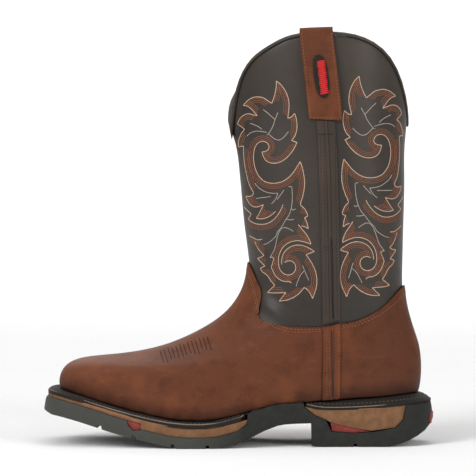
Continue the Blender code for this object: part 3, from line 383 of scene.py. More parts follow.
stage = {"size": 13.0, "back": 4.6, "height": 4.0, "curve": 1.6, "curve steps": 16}
sky = 0.42
lights = (  # name, place, what it is aimed at, size, power
    ("key light", (-1.3, -1.7, 1.5), (0, 0, 0.15), (1.0, 1.4), 27),
    ("fill light", (1.6, -1.6, 0.9), (0, 0, 0.15), (0.8, 1.4), 11),
    ("top light", (0.0, -0.1, 2.0), (0, 0, 0.1), (1.6, 1.2), 12),
    ("back light", (0.0, 2.6, 3.0), (0, 4.2, 0.5), (4.0, 1.2), 110),
)


def addStage():
    bpy.ops.object.select_all(action="DESELECT")
    place = (0, stage["back"] - stage["size"] / 2, 0)
    bpy.ops.mesh.primitive_plane_add(size=stage["size"], location=place)
    floor = bpy.context.object
    floor.name = "floor"
    bpy.ops.object.transform_apply(location=True)
    bpy.ops.object.mode_set(mode="EDIT")
    selectEdges(floor, lambda p: abs(p.y - stage["back"]) < mm)
    bpy.ops.mesh.extrude_edges_move(TRANSFORM_OT_translate={"value": (0, 0, stage["height"])})
    selectEdges(floor, lambda p: abs(p.y - stage["back"]) < mm and abs(p.z) < mm)
    bpy.ops.mesh.bevel(offset=stage["curve"], segments=stage["curve steps"], affect="EDGES")
    bpy.ops.object.mode_set(mode="OBJECT")
    bpy.ops.object.shade_smooth()
    paper = Finish("white paper", Roughness=0.9, Specular_IOR_Level=0.1)
    floor.data.materials.append(
        paper.complete(paper.blend((0.93, 0.93, 0.93), (0.90, 0.90, 0.90), paper.noise(3.0)))
    )


def addLights():
    world = bpy.data.worlds.new("soft sky")
    bpy.context.scene.world = world
    world.use_nodes = True
    background = world.node_tree.nodes["Background"]
    background.inputs["Color"].default_value = (1, 1, 1, 1)
    background.inputs["Strength"].default_value = sky
    for name, place, target, size, power in lights:
        aimed = (Vector(target) - Vector(place)).to_track_quat("-Z", "Y").to_euler()
        bpy.ops.object.light_add(type="AREA", location=place, rotation=aimed)
        light = bpy.context.object
        light.name = name
        light.data.shape = "RECTANGLE"
        light.data.size, light.data.size_y = size
        light.data.energy = power


addCamera()
addStage()
addLights()
print("camera, stage and lights ready")


# Border of a sheet of leather: its outer face's edge, walked round in order

def sheetBorder(piece, ground, apart):
    shape = bmesh.new()
    shape.from_mesh(piece.data)
    shape.normal_update()
    shape.verts.index_update()
    high = [ground.find_nearest(v.co)[3] > apart for v in shape.verts]
    joined = {}
    for edge in shape.edges:
        ends = [v.index for v in edge.verts]
        sharp = len(edge.link_faces) == 2 and edge.calc_face_angle(0.0) > leather["corner"]
        if sharp and all(high[i] for i in ends):
            joined.setdefault(ends[0], []).append(ends[1])
            joined.setdefault(ends[1], []).append(ends[0])
    places = [v.co.copy() for v in shape.verts]
    shape.free()
    loops = []
    left = set(joined)
    for start in sorted(joined):
        if start not in left:
            continue
        loop = [start]
        left.discard(start)
        while True:
            ahead = [i for i in joined[loop[-1]] if i in left]
            if not ahead:
                break
            loop.append(ahead[0])
            left.discard(ahead[0])
        loops.append(loop)
    return [places[i] for i in max(loops, key=len)]


def treeOf(piece):
    shape = bmesh.new()
    shape.from_mesh(piece.data)
    bmesh.ops.triangulate(shape, faces=shape.faces)
    tree = BVHTree.FromBMesh(shape)
    shape.free()
    return tree


def paint(piece, name, value):
    layer = piece.data.attributes.new(name, "FLOAT", "POINT")
    layer.data.foreach_set("value", [value(v.co, v.normal) for v in piece.data.vertices])


def nearness(points, reach):  # 1 on the points, 0 at the reach and beyond
    tree = KDTree(len(points))
    for index, point in enumerate(points):
        tree.insert(point, index)
    tree.balance()

    def value(place):
        return share(1.0 - tree.find(place)[2] / reach)

    return value


# Leather upper

leather = {
    "levels": 2,
    "corner": math.radians(50),
    "edge shade": 6 * mm,
    "sole shade": 15 * mm,
    "lap gap": 0.1 * mm,
    "face height": 1.35 * mm,  # the outer face of a lapped sheet is further out than this
    "cut edge": 1.5 * mm,
    "worked edge": 0.06,
}
shaftPlace = {"axis": 0.068, "middle": 0.0018, "foot": 0.09, "lining": 0.08}
soleEdge = [p.co.copy() for n in ("welt", "heel_rim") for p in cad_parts[n].data.vertices]
nearSole = nearness(soleEdge, leather["sole shade"])


def toeHighlight(place):  # painted highlight: the toe cap is paler on top, on its upward faces
    return share((-place.x - 0.05) / 0.08)


def layOn(piece, ground, gap, reach):  # the hidden face of a sheet goes down onto what carries it
    for vert in piece.data.vertices:
        spot, normal, index, distance = ground.find_nearest(vert.co)
        if distance < reach:
            vert.co = spot + normal * gap


shaft = copyOfNode("upper", "shaft")
useModifier(shaft, "SUBSURF", levels=leather["levels"], render_levels=leather["levels"])

folds = {  # soft creases low on the shaft: places in the photo, height and reach
    "lines": (
        (((258, 292), (267, 304), (280, 315), (297, 325)), 1.5 * mm, 4.2 * mm),
        (((263, 287), (276, 300), (291, 311), (314, 321)), -1.3 * mm, 3.6 * mm),
        (((275, 287), (289, 299), (304, 308), (317, 311)), 1.0 * mm, 3.6 * mm),
        (((352, 300), (368, 296), (384, 288)), 0.5 * mm, 5.0 * mm),
        (((247, 180), (252, 196), (262, 208)), -0.4 * mm, 6.0 * mm),
    ),
    "steps": 12,
    "past reach": 2.2,
    "past middle": 2 * mm,
}


def foldSpots(ground, places):  # points along a crease, with how strong it is there
    steps = folds["steps"]
    whole = steps * (len(places) - 1)
    spots = []
    for start, end in zip(places, places[1:]):
        for t in range(steps):
            hit = seenOn(ground, *Vector(start).lerp(Vector(end), t / steps))
            if hit:
                spots.append((hit, math.sin(math.pi * min((len(spots) + 1) / whole, 1))))
    return spots


def addFolds(piece):  # soft ridges and troughs, worked into the leather
    ground = treeOf(piece)
    for places, height, reach in folds["lines"]:
        spots = foldSpots(ground, places)
        for flip in (1, -1):
            tree = KDTree(len(spots))
            for index, (spot, strength) in enumerate(spots):
                tree.insert((spot.x, spot.y * flip, spot.z), index)
            tree.balance()
            for vert in piece.data.vertices:
                if vert.co.y * flip > folds["past middle"] or vert.co.z < shaftPlace["foot"]:
                    continue
                near, index, distance = tree.find(vert.co)
                if distance < reach * folds["past reach"]:
                    away = Vector((vert.co.x - shaftPlace["axis"], vert.co.y, 0)).normalized()
                    vert.co += away * height * spots[index][1] * math.exp(-((distance / reach) ** 2))


addFolds(shaft)
shaftTree = treeOf(shaft)


def shaftShade(place, normal):  # painted shade: darker at the front edge, low down and between the scrolls
    front = share((0.02 - place.x) / 0.012)
    low = share((0.150 - place.z) / 0.04)
    middle = share((0.320 - place.z) / 0.035)
    return share(0.5 * front + 0.5 * low + 0.42 * middle)


def shaftHighlight(place, normal):  # painted highlight: a paler band up the back
    return 0.35 * math.exp(-(((place.x - 0.098) / 0.012) ** 2))


# painted shade on the shaft, and a painted highlight band up its back
paint(shaft, "painted_shade_and_dark_edges", shaftShade)
paint(shaft, "painted_highlight", shaftHighlight)
finishPiece(shaft, shaftLeather, "shaft_leather", "upper")


def lineShaft():  # the inner faces of the shaft carry the tan lining
    shaft.data.materials.append(liningLeather)
    for face in shaft.data.polygons:
        away = Vector((face.center.x - shaftPlace["axis"], face.center.y, 0))
        if face.center.z > shaftPlace["lining"] and face.normal.dot(away) < 0:
            face.material_index = 1


lineShaft()


vampNotch = (  # how the vamp's top edge swings, in pixels: place, reach left, right, up, down, shift
    ((274, 317), 25, 22, 18, 22, -15.5),
    ((259, 291), 9, 9, 7, 7, 3.0),
)
leastShift = 0.2 * mm


def notchShift(px, py):
    total = 0.0
    for (cx, cy), left, right, up, down, shift in vampNotch:
        across = (px - cx) / (left if px < cx else right)
        along = (py - cy) / (up if py < cy else down)
        total += shift * math.exp(-across * across - along * along)
    return total


def notchVamp(piece):  # the sheet slides over the shaft, keeping its height above it
    scale = camera["distance"] / focal
    for vert in piece.data.vertices:
        seen = Vector((vert.co.x, -abs(vert.co.y), vert.co.z)) - aim
        px = middlePixel + seen.dot(viewRight) / scale
        py = middlePixel - seen.dot(viewUp) / scale
        shift = notchShift(px, py) * scale
        if abs(shift) > leastShift:
            height = shaftTree.find_nearest(vert.co)[3]
            moved, slope, index, far = shaftTree.find_nearest(vert.co + Vector((shift, 0, 0)))
            vert.co = moved + slope * height


def dressOverlay(node, name, shade=0.0):
    piece = copyOfNode(node, name)
    if node == "vamp":
        notchVamp(piece)
    layOn(piece, shaftTree, leather["lap gap"], leather["face height"])
    border = sheetBorder(piece, shaftTree, leather["face height"])
    useModifier(piece, "SUBSURF", levels=leather["levels"], render_levels=leather["levels"])
    nearEdge = nearness([p for p in border if p.z > leather["worked edge"]], leather["edge shade"])
    cutEdge = nearness(border, leather["cut edge"])
    # painted shade: darker towards the sole, where the upper turns under to the welt, and all over by the
    # shade given (the counter); also darker along the top edges
    paint(piece, "painted_shade_and_dark_edges", lambda p, n: share(shade + 1.2 * nearSole(p) ** 1.3 + 0.3 * nearEdge(p) ** 2))
    # painted highlight on the upward faces of the toe cap
    paint(piece, "painted_highlight", lambda p, n: 0.45 * toeHighlight(p) * max(0.0, n.z))
    paint(piece, "cut", lambda p, n: 0.8 * cutEdge(p) ** 0.5)
    finishPiece(piece, footLeather, "brown_leather", node)
    return piece, border


vamp, vampBorder = dressOverlay("vamp", "vamp_leather")
counter, counterBorder = dressOverlay("counter", "counter_leather", 0.25)
vampTree, counterTree = treeOf(vamp), treeOf(counter)
print("shaft, vamp and counter ready")


trim = {"bevel": 0.25 * mm, "collar grows": 0.45 * mm, "collar drops": 1.3 * mm}


def dressTrim(node, name, material, slot, grow=0.0):
    piece = copyOfNode(node, name)
    if grow:
        pick(piece)
        bpy.ops.object.mode_set(mode="EDIT")
        bpy.ops.mesh.select_all(action="SELECT")
        bpy.ops.transform.shrink_fatten(value=grow)
        bpy.ops.object.mode_set(mode="OBJECT")
    bevel(piece, trim["bevel"])
    useModifier(piece, "SUBSURF", levels=1, render_levels=1)
    # painted shade: darker towards the sole
    paint(piece, "painted_shade_and_dark_edges", lambda p, n: 0.9 * nearSole(p) ** 1.5)
    return finishPiece(piece, material, slot, node)


seamTrees = {}
for word, side in (("lateral", outer), ("medial", inner)):
    seamTrees[side] = {
        part: treeOf(dressTrim(node + word, name + word, material, slot))
        for part, node, name, material, slot in (
            ("shaft", "shaft_seam_", "shaft_seam_cover_", seamLeather, "shaft_leather"),
            ("foot", "foot_seam_", "foot_seam_cover_", footLeather, "brown_leather"),
            ("strap", "pull_strap_", "strap_", strapLeather, "brown_leather"),
        )
    }
collar = dressTrim(
    "collar_binding", "collar_edge", shaftLeather, "shaft_leather", trim["collar grows"]
)
for vert in collar.data.vertices:  # the binding is pulled down over the raw edge
    vert.co.z -= trim["collar drops"]
badgeTree = treeOf(dressTrim("strap_patch", "strap_badge", rimRubber, "black_rubber"))
print("trim ready")


# Thread: the shaft unrolled from its side seam, so one drawing serves all four panels

seam = {"low": Vector((76.5, 98.0)) * mm, "high": Vector((63.2, 337.0)) * mm}  # seen from the side
unroll = {"low": 96, "high": 330, "step": 3, "rays": 300, "start": 0.3}  # heights in mm


def seamX(z):
    along = (z - seam["low"].y) / (seam["high"].y - seam["low"].y)
    return seam["low"].x + (seam["high"].x - seam["low"].x) * along


class Unrolled:  # the shaft's outer face, walked round at even heights
    def __init__(self, tree):
        self.rows = []
        rays = unroll["rays"]
        for level in range(unroll["low"], unroll["high"] + 1, unroll["step"]):
            middle = Vector((shaftPlace["axis"], shaftPlace["middle"], level * mm))
            ring = []
            for i in range(rays):
                angle = 2 * math.pi * i / rays
                way = Vector((math.cos(angle), math.sin(angle), 0))
                ring.append(tree.ray_cast(middle + way * unroll["start"], -way, unroll["start"])[0])
            self.rows.append({side: self.walk(ring, side, level * mm) for side in (outer, inner)})

    def walk(self, ring, side, z):  # distances along the face from the seam, back is positive
        count = len(ring)
        goal = seamX(z)
        flank = (i for i in range(count) if ring[i] and ring[i].y * side > 10 * mm)
        first = min(flank, key=lambda i: abs(ring[i].x - goal))
        shift = goal - ring[first].x
        table = [(-shift, ring[first])]
        for way in (1, -1):
            distance, here, i = 0.0, ring[first], first
            back = 1 if way * side < 0 else -1
            for _ in range(count // 2):
                i = (i + way) % count
                if not ring[i]:
                    break
                distance += (ring[i] - here).length
                here = ring[i]
                table.append((distance * back - shift, here))
        return sorted(table, key=lambda row: row[0])

    def level(self, z):  # which row this height is at, with its fraction
        return min(max((z / mm - unroll["low"]) / unroll["step"], 0), len(self.rows) - 1.001)

    def spot(self, side, along, z):  # the point this far from the seam, at this height
        level = self.level(z)
        found = []
        for index in (int(level), int(level) + 1):
            table = self.rows[index][side]
            high = bisect_left(table, along, 1, len(table) - 1, key=lambda row: row[0])
            (start, first), (end, second) = table[high - 1], table[high]
            found.append(first.lerp(second, share((along - start) / max(end - start, 1e-9))))
        return found[0].lerp(found[1], level - int(level))

    def distance(self, side, point):  # how far round from the seam a point of the face is
        table = self.rows[round(self.level(point.z))][side]
        flat = point.to_2d()
        gaps = [(row[1].to_2d() - flat).length for row in table]
        best = gaps.index(min(gaps))
        other = min((i for i in (best - 1, best + 1) if 0 <= i < len(table)), key=lambda i: gaps[i])
        (start, first), (end, second) = table[best], table[other]
        span = (second - first).to_2d()
        reach = (flat - first.to_2d()).dot(span) / max(span.length_squared, 1e-12)
        return start + (end - start) * share(reach)


unrolled = Unrolled(shaftTree)


def mirrored(across, z):  # the same place on the other side of the seam, on the unrolled shaft
    line = (seam["high"] - seam["low"]).normalized()
    gap = Vector((across + seamX(z), z)) - seam["low"]
    flat = seam["low"] + line * (2 * gap.dot(line)) - gap
    return flat.x - seamX(flat.y), flat.y


def curveThrough(points, step):  # evenly spaced points on a smooth curve through the given ones
    points = [Vector(p) for p in points]
    if len(points) < 3:
        return evenly([points[0].lerp(points[-1], i / 20) for i in range(21)], step)
    points = [points[0] * 2 - points[1]] + points + [points[-1] * 2 - points[-2]]
    fine = []
    for p0, p1, p2, p3 in zip(points, points[1:], points[2:], points[3:]):
        for k in range(12):
            t = k / 12
            bend = (2 * p0 - 5 * p1 + 4 * p2 - p3) * t**2 + (3 * p1 - p0 - 3 * p2 + p3) * t**3
            fine.append(0.5 * (2 * p1 + (p2 - p0) * t + bend))
    return evenly(fine + [points[-2]], step)


def travelled(path):  # the distance gone at each point
    lengths = [0.0]
    for a, b in zip(path, path[1:]):
        lengths.append(lengths[-1] + (b - a).length)
    return lengths


def evenly(fine, step):
    if len(fine) < 2:
        return list(fine)
    lengths = travelled(fine)
    count = max(2, round(lengths[-1] / step))
    result = []
    k = 0
    for i in range(count + 1):
        goal = lengths[-1] * i / count
        while k < len(fine) - 2 and lengths[k + 1] < goal:
            k += 1
        t = (goal - lengths[k]) / max(lengths[k + 1] - lengths[k], 1e-12)
        result.append(fine[k].lerp(fine[k + 1], share(t)))
    return result


def shifted(points, distance, cut):  # a flat curve moved to its right, shortened at both ends
    ways = [wayAt(points, i) for i in range(len(points))]
    moved = [here + Vector((-way.y, way.x)) * distance for here, way in zip(points, ways)]
    lengths = travelled(moved)
    return [p for p, d in zip(moved, lengths) if cut < d < lengths[-1] - cut]


thread = {
    "stitch": 2.1,
    "step": 0.55,
    "bead step": 1.6,
    "bead sides": 8,
    "taper": (0.35, 0.8),
    "capsule": (  # along, wide and high, from end to end
        (-1.0, 0.0, -0.35), (-0.82, 0.72, 0.45), (-0.35, 1.0, 1.0),
        (0.35, 1.0, 1.0), (0.82, 0.72, 0.45), (1.0, 0.0, -0.35),
    ),
}


class ThreadBag:  # rows of sewing thread gathered into one mesh, sizes in mm
    def __init__(self):
        self.points = []
        self.faces = []

    def rib(self, base, aside, normal, reach, shoulder, top, sink):  # one cross-section, foot to foot
        aside, normal = aside * mm, normal * mm
        self.points += (
            base - aside * reach - normal * sink,
            base - aside * reach * shoulder + normal * top,
            base + aside * reach * shoulder + normal * top,
            base + aside * reach - normal * sink,
        )

    def cover(self, count):  # faces over the last ribs
        end = len(self.points) - 4
        for a in range(end - 4 * (count - 1), end, 4):
            self.faces += [(a + j + 1, a + j, a + j + 4, a + j + 5) for j in range(3)]

    def lay(self, path, tree, width, height):  # an unbroken row of backstitches
        path = evenly(path, thread["step"] * mm)
        if len(path) < 3:
            return
        for i, here in enumerate(path):
            spot, normal, index, distance = tree.find_nearest(here)
            aside = normal.cross(wayAt(path, i)).normalized()
            beat = abs(math.sin(math.pi * i * thread["step"] / thread["stitch"])) ** 0.5
            if i == len(path) - 1:
                beat = 0.0
            top = 0.8 * height * (0.35 + 0.65 * beat)
            self.rib(spot, aside, normal, width / 2 * (0.55 + 0.45 * beat), 0.62, top, 0.1)
        self.cover(len(path))

    def capsule(self, place, way, tree, length, width, height):  # one stitch
        spot, normal, index, distance = tree.find_nearest(place)
        aside = normal.cross(way).normalized()
        way = aside.cross(normal).normalized()
        for along, wide, high in thread["capsule"]:
            base = spot + way * (along * length / 2 * mm)
            self.rib(base, aside, normal, wide * width / 2, 0.6, 0.8 * high * height, 0.12)
        self.cover(len(thread["capsule"]))

    def stitches(self, path, tree, length, gap, width, height):  # single stitches with gaps
        path = evenly(path, (length + gap) / 2 * mm)
        for a, b in zip(path[::2], path[1::2]):
            self.capsule((a + b) / 2, (b - a).normalized(), tree, length, width, height)

    def tube(self, path, wide, high, beat=0.0):  # a round bead along a path, ends closed
        path = evenly(path, thread["bead step"] * mm)
        sides = thread["bead sides"]
        start = len(self.points)
        for i, here in enumerate(path):
            way = wayAt(path, i)
            aside = way.cross(upright).normalized()
            up = aside.cross(way).normalized()
            fromEnd = min(i, len(path) - 1 - i)
            taper = thread["taper"][fromEnd] if fromEnd < 2 else 1.0 - beat * (i % 2)
            for k in range(sides):
                angle = 2 * math.pi * k / sides
                out = aside * math.cos(angle) * wide + up * math.sin(angle) * high
                self.points.append(here + out * taper * mm)
        last = start + (len(path) - 1) * sides
        for a in range(start, last, sides):
            for k in range(sides):
                j = (k + 1) % sides
                self.faces.append((a + k, a + j, a + sides + j, a + sides + k))
        self.faces.append(tuple(start + k for k in reversed(range(sides))))
        self.faces.append(tuple(last + k for k in range(sides)))

    def sew(self, name, material, slot):
        mesh = bpy.data.meshes.new(name)
        mesh.from_pydata(self.points, [], self.faces)
        piece = bpy.data.objects.new(name, mesh)
        bpy.context.scene.collection.objects.link(piece)
        return finishPiece(piece, material, slot)


def addThread(name, colour, dull):
    return addPlain(name, dull, colour, (1600, 3.0, 0.7), (0.25, 0.6), (0.5, 0.2), (4200, 2.0, 0.6),
                    0.5, 0.12, Specular_IOR_Level=0.15)


threads = {
    "cream": addThread("cream thread", (0.60, 0.42, 0.31), (0.36, 0.23, 0.16)),
    "brown": addThread("brown thread", (0.230, 0.125, 0.075), (0.120, 0.060, 0.036)),
    "shade": addThread("shaded thread", (0.075, 0.034, 0.020), (0.038, 0.017, 0.010)),
    "sole": addThread("waxed sole thread", (0.105, 0.080, 0.058), (0.050, 0.037, 0.027)),
    # the pale colour of the welt and heel rim ridges: painted highlight
    "welt": addThread("welt edge highlight", (0.270, 0.205, 0.155), (0.130, 0.095, 0.070)),
    "rust": addThread("rust thread", (0.290, 0.098, 0.048), (0.150, 0.046, 0.022)),
    "grey": addThread("pale grey thread", (0.43, 0.38, 0.34), (0.28, 0.24, 0.21)),
    "tan": addThread("tan thread", (0.270, 0.110, 0.052), (0.150, 0.055, 0.026)),
    "dark": addThread("dark brown thread", (0.046, 0.016, 0.008), (0.024, 0.008, 0.004)),
    "black": addThread("black thread", (0.030, 0.027, 0.024), (0.014, 0.012, 0.011)),
    "red": addThread("red thread", (0.62, 0.030, 0.028), (0.40, 0.015, 0.014)),
}


# Scrollwork of the front panel, read from the photo, in pixels: chains of strokes, each with
# inner rows on its right (1), its left (-1) or neither (0)
scrollOutline = (
    ((276.3, 81), (
        (-1, (276.2, 87), (275.2, 93), (273.6, 98.5), (271.8, 103.3)),
        (-1, (267.5, 100.6), (263.5, 98), (259, 97), (254, 97.2), (249.5, 99.2), (246, 102.3),
            (243.2, 105.4)),
        (-1, (248, 106.4), (252, 109.6), (255, 113), (257.3, 115.8)),
        (-1, (252.5, 114.6), (248, 113.8), (243.5, 115.4), (240, 118.8), (237.4, 123.8)),
        (-1, (241, 126.5), (244.8, 129.2)),
        (-1, (242, 132.5), (239.8, 137), (238.4, 142), (238.6, 147)),
        (-1, (241, 146.3), (243.6, 146.2)),
        (-1, (243.8, 155), (244.9, 165), (246.8, 175), (249, 183.5), (251.3, 188.5), (253.8, 192.8)),
        (-1, (251.8, 195.8), (249, 196.4), (246, 196.2)),
        (-1, (248.2, 201.5), (251.5, 205.5), (255.5, 207), (259.5, 206.3), (263.5, 204.6)),
        (-1, (261.5, 209), (259.3, 213.5), (256.3, 218.5)),
        (-1, (262, 218.8), (267.5, 217.3), (272, 214.5), (275.6, 211.3)),
    )),
    ((244, 207), (
        (0, (247.3, 210.3), (251.3, 213.8)),
        (0, (250, 216.3), (248.2, 218.8)),
        (1, (251.5, 221.8), (256, 223.8), (261.5, 224.4), (267, 223.6), (272, 221), (276, 217.2),
            (279.5, 212.3), (282, 207.5), (282.8, 204.5)),
    )),
    ((276.3, 81), (
        (1, (281, 84.8), (285, 90.5), (287.8, 97), (289, 104), (288.7, 111), (287.7, 118.3)),
        (1, (291.3, 117), (294.6, 113.4)),
        (1, (296.2, 118.5), (297, 124.5), (296.6, 130.5), (294.6, 136.5), (291.5, 140.3)),
        (0, (294, 141.5), (297, 142.3)),
        (1, (294.7, 147.3), (291, 153), (285.5, 158.8), (279, 162.4), (272.5, 163.2), (267, 161.3),
            (263.8, 157.2), (262, 152)),
        (1, (265.5, 151.4), (268.6, 149), (268.9, 145.5), (266.2, 142.2), (262, 141.3), (258, 143),
            (255, 147.5), (253.7, 154), (253.8, 161), (255.3, 168.5), (258.5, 175.5), (263.5, 180.8),
            (269.5, 183), (276, 183.2), (282.5, 181.5), (288.3, 177.8), (293.5, 172.2), (297.3, 166.3),
            (300.3, 161.6)),
        (1, (302.3, 168), (303.9, 175.5), (304.6, 183), (304, 190), (302.7, 196.5), (301, 201.5),
            (300.4, 205.2)),
        (1, (303.8, 208), (306.2, 211.5), (307.9, 215.8)),
        (0, (306.2, 217), (304.6, 217.6)),
        (1, (306.8, 222.5), (308.4, 228.8)),
        (0, (305, 226.8), (301.5, 226)),
    )),
    ((298.2, 224.5), (
        (1, (301.8, 229), (305.8, 233.8), (309, 239), (311, 244.2)),
        (1, (307, 242.8), (302, 241.3), (296.5, 240.7), (290.5, 242), (285, 245.2), (281, 250.3),
            (278.7, 257), (278.6, 264), (280, 269.5), (283.2, 273.3), (287.8, 275), (292.6, 273.7),
            (295.6, 269.6), (295.3, 264.8), (292.4, 261.5), (288.2, 260.7), (284.6, 262.4)),
    )),
    ((314.3, 251.5), (
        (-1, (309.5, 248.4), (304, 246), (298, 245), (292, 246.2), (287, 249.3), (283.3, 254.2),
            (281.7, 260), (281.8, 264.6)),
    )),
    ((314.3, 251.5), (
        (0, (310.5, 253), (306, 254.7)),
        (1, (309.5, 259.5), (313, 265.5), (315.6, 272), (316.8, 279.5), (316.3, 287.5), (314.2, 294),
            (312.6, 298.6)),
        (1, (310.3, 293.5), (307, 289.3), (303.8, 287.3)),
    )),
    ((303.8, 287.8), (
        (1, (300, 292.5), (294.5, 296.8), (288, 299.8), (279.3, 301.2)),
        (0, (282, 297.5), (286, 292.6)),
        (1, (280, 292.8), (274, 293), (267.5, 292.5)),
        (0, (270.5, 289.5), (274.8, 285.3)),
        (1, (271.3, 281.3), (268.6, 277), (266, 274.3), (262.5, 271.8), (260.3, 268.3)),
        (0, (263, 267), (265, 266)),
        (1, (261.5, 262.6), (257.6, 258.3)),
        (0, (261.5, 257), (264, 255.3)),
        (1, (259.5, 250.5), (256.5, 245.5), (254.8, 240.8)),
    )),
    ((249.3, 235.6), (
        (1, (253.5, 238), (257.5, 239.8), (262, 239.4)),
    )),
    ((270, 257.5), (
        (0, (272.2, 257.2), (274, 258.3)),
        (-1, (272.8, 262.5), (271.3, 267.5)),
        (-1, (273.2, 271.5), (275.6, 275.7), (279.2, 279.2), (284, 281.3), (289, 281.6), (291.8, 283.2)),
    )),
)
scrollVeins = (
    ((263, 109.6), (267.5, 112.8), (271.5, 116.5), (275, 119.6)),
    ((277.8, 112.5), (276.6, 116), (275, 119.6), (273.8, 124), (271.5, 129), (268.5, 133.8),
        (266.5, 135)),
    ((268.5, 133.8), (272, 137), (276, 139.6), (280, 139.8), (284, 137), (288.5, 131.5)),
    ((250, 123.4), (254.5, 124.8), (259, 127), (262, 129.5)),
    ((247, 136), (250.5, 133), (255, 131.3), (261, 131.4), (267, 132.5)),
    ((255, 183), (258, 187), (262, 190), (267, 192.3), (272, 193.2), (278, 193.3)),
    ((256, 198.5), (261, 197.8), (266, 197.2), (271, 196.4)),
    ((278, 193.3), (276.8, 196.5), (274.8, 200.3), (271.3, 204)),
    ((284, 190), (280.5, 195), (277, 199.5)),
    ((288.5, 186.6), (291.6, 187.2), (292.3, 195), (292, 203), (290.8, 210), (288.5, 216), (286, 219.3),
        (284, 223), (280.5, 228.5), (277.5, 232), (275.8, 236.5)),
    ((286, 219.3), (290.5, 219.8), (294.3, 219.3)),
    ((291.3, 208.5), (293.2, 210), (295.6, 208.8)),
    ((280.4, 229.6), (284, 227.6), (288.5, 228.6), (293.3, 231.2)),
    ((280.4, 229.6), (278.5, 233.4), (277, 238.5), (275.8, 244.5), (274, 250.5), (270, 257.5)),
    ((275.8, 236.5), (272, 240), (267.5, 243.3), (263.5, 244.8)),
    ((302.6, 265.5), (304.4, 270), (306.6, 275.5), (308.8, 280.5)),
    ((304, 271), (300.5, 275.2), (298, 280.5), (296, 286.5)),
)
scrolls = {
    "step": 0.8,
    "row gap": 1.75,
    "inner rows": ((1, "rust", 0.7), (2, "brown", 1.4), (3, "rust", 2.2)),
    "widths": {"cream": 0.92, "brown": 0.74, "rust": 0.74, "grey": 0.74},
    "height": 0.42,
}


def onShaft(px, py):  # a place of the photo on the shaft: distance from the seam, and height
    spot = seenOn(shaftTree, px, py)
    return (unrolled.distance(outer, spot), spot.z) if spot else None


def scrollRows():  # every row of thread of the front panel, by colour, in pixels
    rows = {"cream": [], "brown": [], "rust": [], "grey": []}
    gap = scrolls["row gap"]
    for start, strokes in scrollOutline:
        for way, *points in strokes:
            line = curveThrough([start, *points], scrolls["step"])
            rows["cream"].append(line)
            start = points[-1]
            for row, colour, cut in scrolls["inner rows"] if way else ():
                rows[colour].append(shifted(line, row * gap * way, gap * cut))
    rows["grey"] = [curveThrough(points, scrolls["step"]) for points in scrollVeins]
    return rows


def addScrolls():
    for colour, lines in scrollRows().items():
        placed = [[spot for spot in (onShaft(*p) for p in line) if spot] for line in lines]
        placed = [spots for spots in placed if len(spots) > 2]
        for side, word in ((outer, "lateral"), (inner, "medial")):
            for mirror, panel in ((False, "front"), (True, "back")):
                bag = ThreadBag()
                for spots in placed:
                    flat = [mirrored(*spot) for spot in spots] if mirror else spots
                    path = [unrolled.spot(side, along, z) for along, z in flat]
                    bag.lay(path, shaftTree, scrolls["widths"][colour], scrolls["height"])
                bag.sew("scroll_%s_%s_%s" % (colour, word, panel), threads[colour], "shaft_leather")


addScrolls()
print("scrollwork ready")


# Seams and stitches of the leather

def onPiece(tree, places):  # places of the photo, as points on a piece's outer side
    spots = [seenOn(tree, *place) for place in places]
    return [spot for spot in spots if spot]


def flipped(path):
    return [Vector((p.x, -p.y, p.z)) for p in path]


def insetBorder(border, tree, distance, low):  # the sheet's edge moved inwards over its face
    moved = []
    count = len(border)
    for i, here in enumerate(border):
        way = (border[(i + 1) % count] - border[i - 1]).normalized()
        spot, normal, index, far = tree.find_nearest(here)
        aside = normal.cross(way).normalized()
        moved.append((spot + aside * distance, spot - aside * distance))
    misses = [sum(tree.find_nearest(pair[k])[3] for pair in moved) for k in (0, 1)]
    k = misses.index(min(misses))
    start = next((i for i in range(count) if border[i].z < low), 0)
    runs, run = [], []
    for i in range(count + 1):
        j = (start + i) % count
        if border[j].z >= low and i < count:
            run.append(moved[j][k])
        elif run:
            runs.append(run)
            run = []
    return [smoothed(run) for run in runs if len(run) > 3]


def smoothed(path):
    for _ in range(3):
        between = [(a + 2 * b + c) / 4 for a, b, c in zip(path, path[1:], path[2:])]
        path = [path[0]] + between + [path[-1]]
    return path


edging = {"rows": (2.3 * mm, 4.7 * mm), "low": 88 * mm, "stitch": (2.0, 0.9, 0.75, 0.35)}


def sewEdges():
    bag = ThreadBag()
    for border, tree in ((vampBorder, vampTree), (counterBorder, counterTree)):
        for distance in edging["rows"]:
            for run in insetBorder(border, tree, distance, edging["low"]):
                bag.stitches(run, tree, *edging["stitch"])
    bag.sew("edge_stitches", threads["tan"], "brown_leather")


toeRow = {
    "count": 13,
    "left": 160,
    "long": 47,
    "level": 350.2,
    "slant": 0.32,
    "stroke": 12,
    "size": (1.15, 0.28),
}


def sewToe():  # slanted strokes on the ridge of the vamp
    bag = ThreadBag()
    for i in range(toeRow["count"]):
        along = i / (toeRow["count"] - 1)
        px = toeRow["left"] + toeRow["long"] * along
        py = toeRow["level"] - 12.6 * along - 1.5 * along * along + 0.7 * math.sin(i * 2.3)
        down = [t / 4 * (toeRow["stroke"] + 1.5 * math.sin(i * 1.7)) for t in range(5)]
        stroke = onPiece(vampTree, [(px + toeRow["slant"] * t, py + t) for t in down])
        for path in (stroke, flipped(stroke)):
            bag.lay(path, vampTree, *toeRow["size"])
    bag.sew("toe_stitches", threads["dark"], "brown_leather")


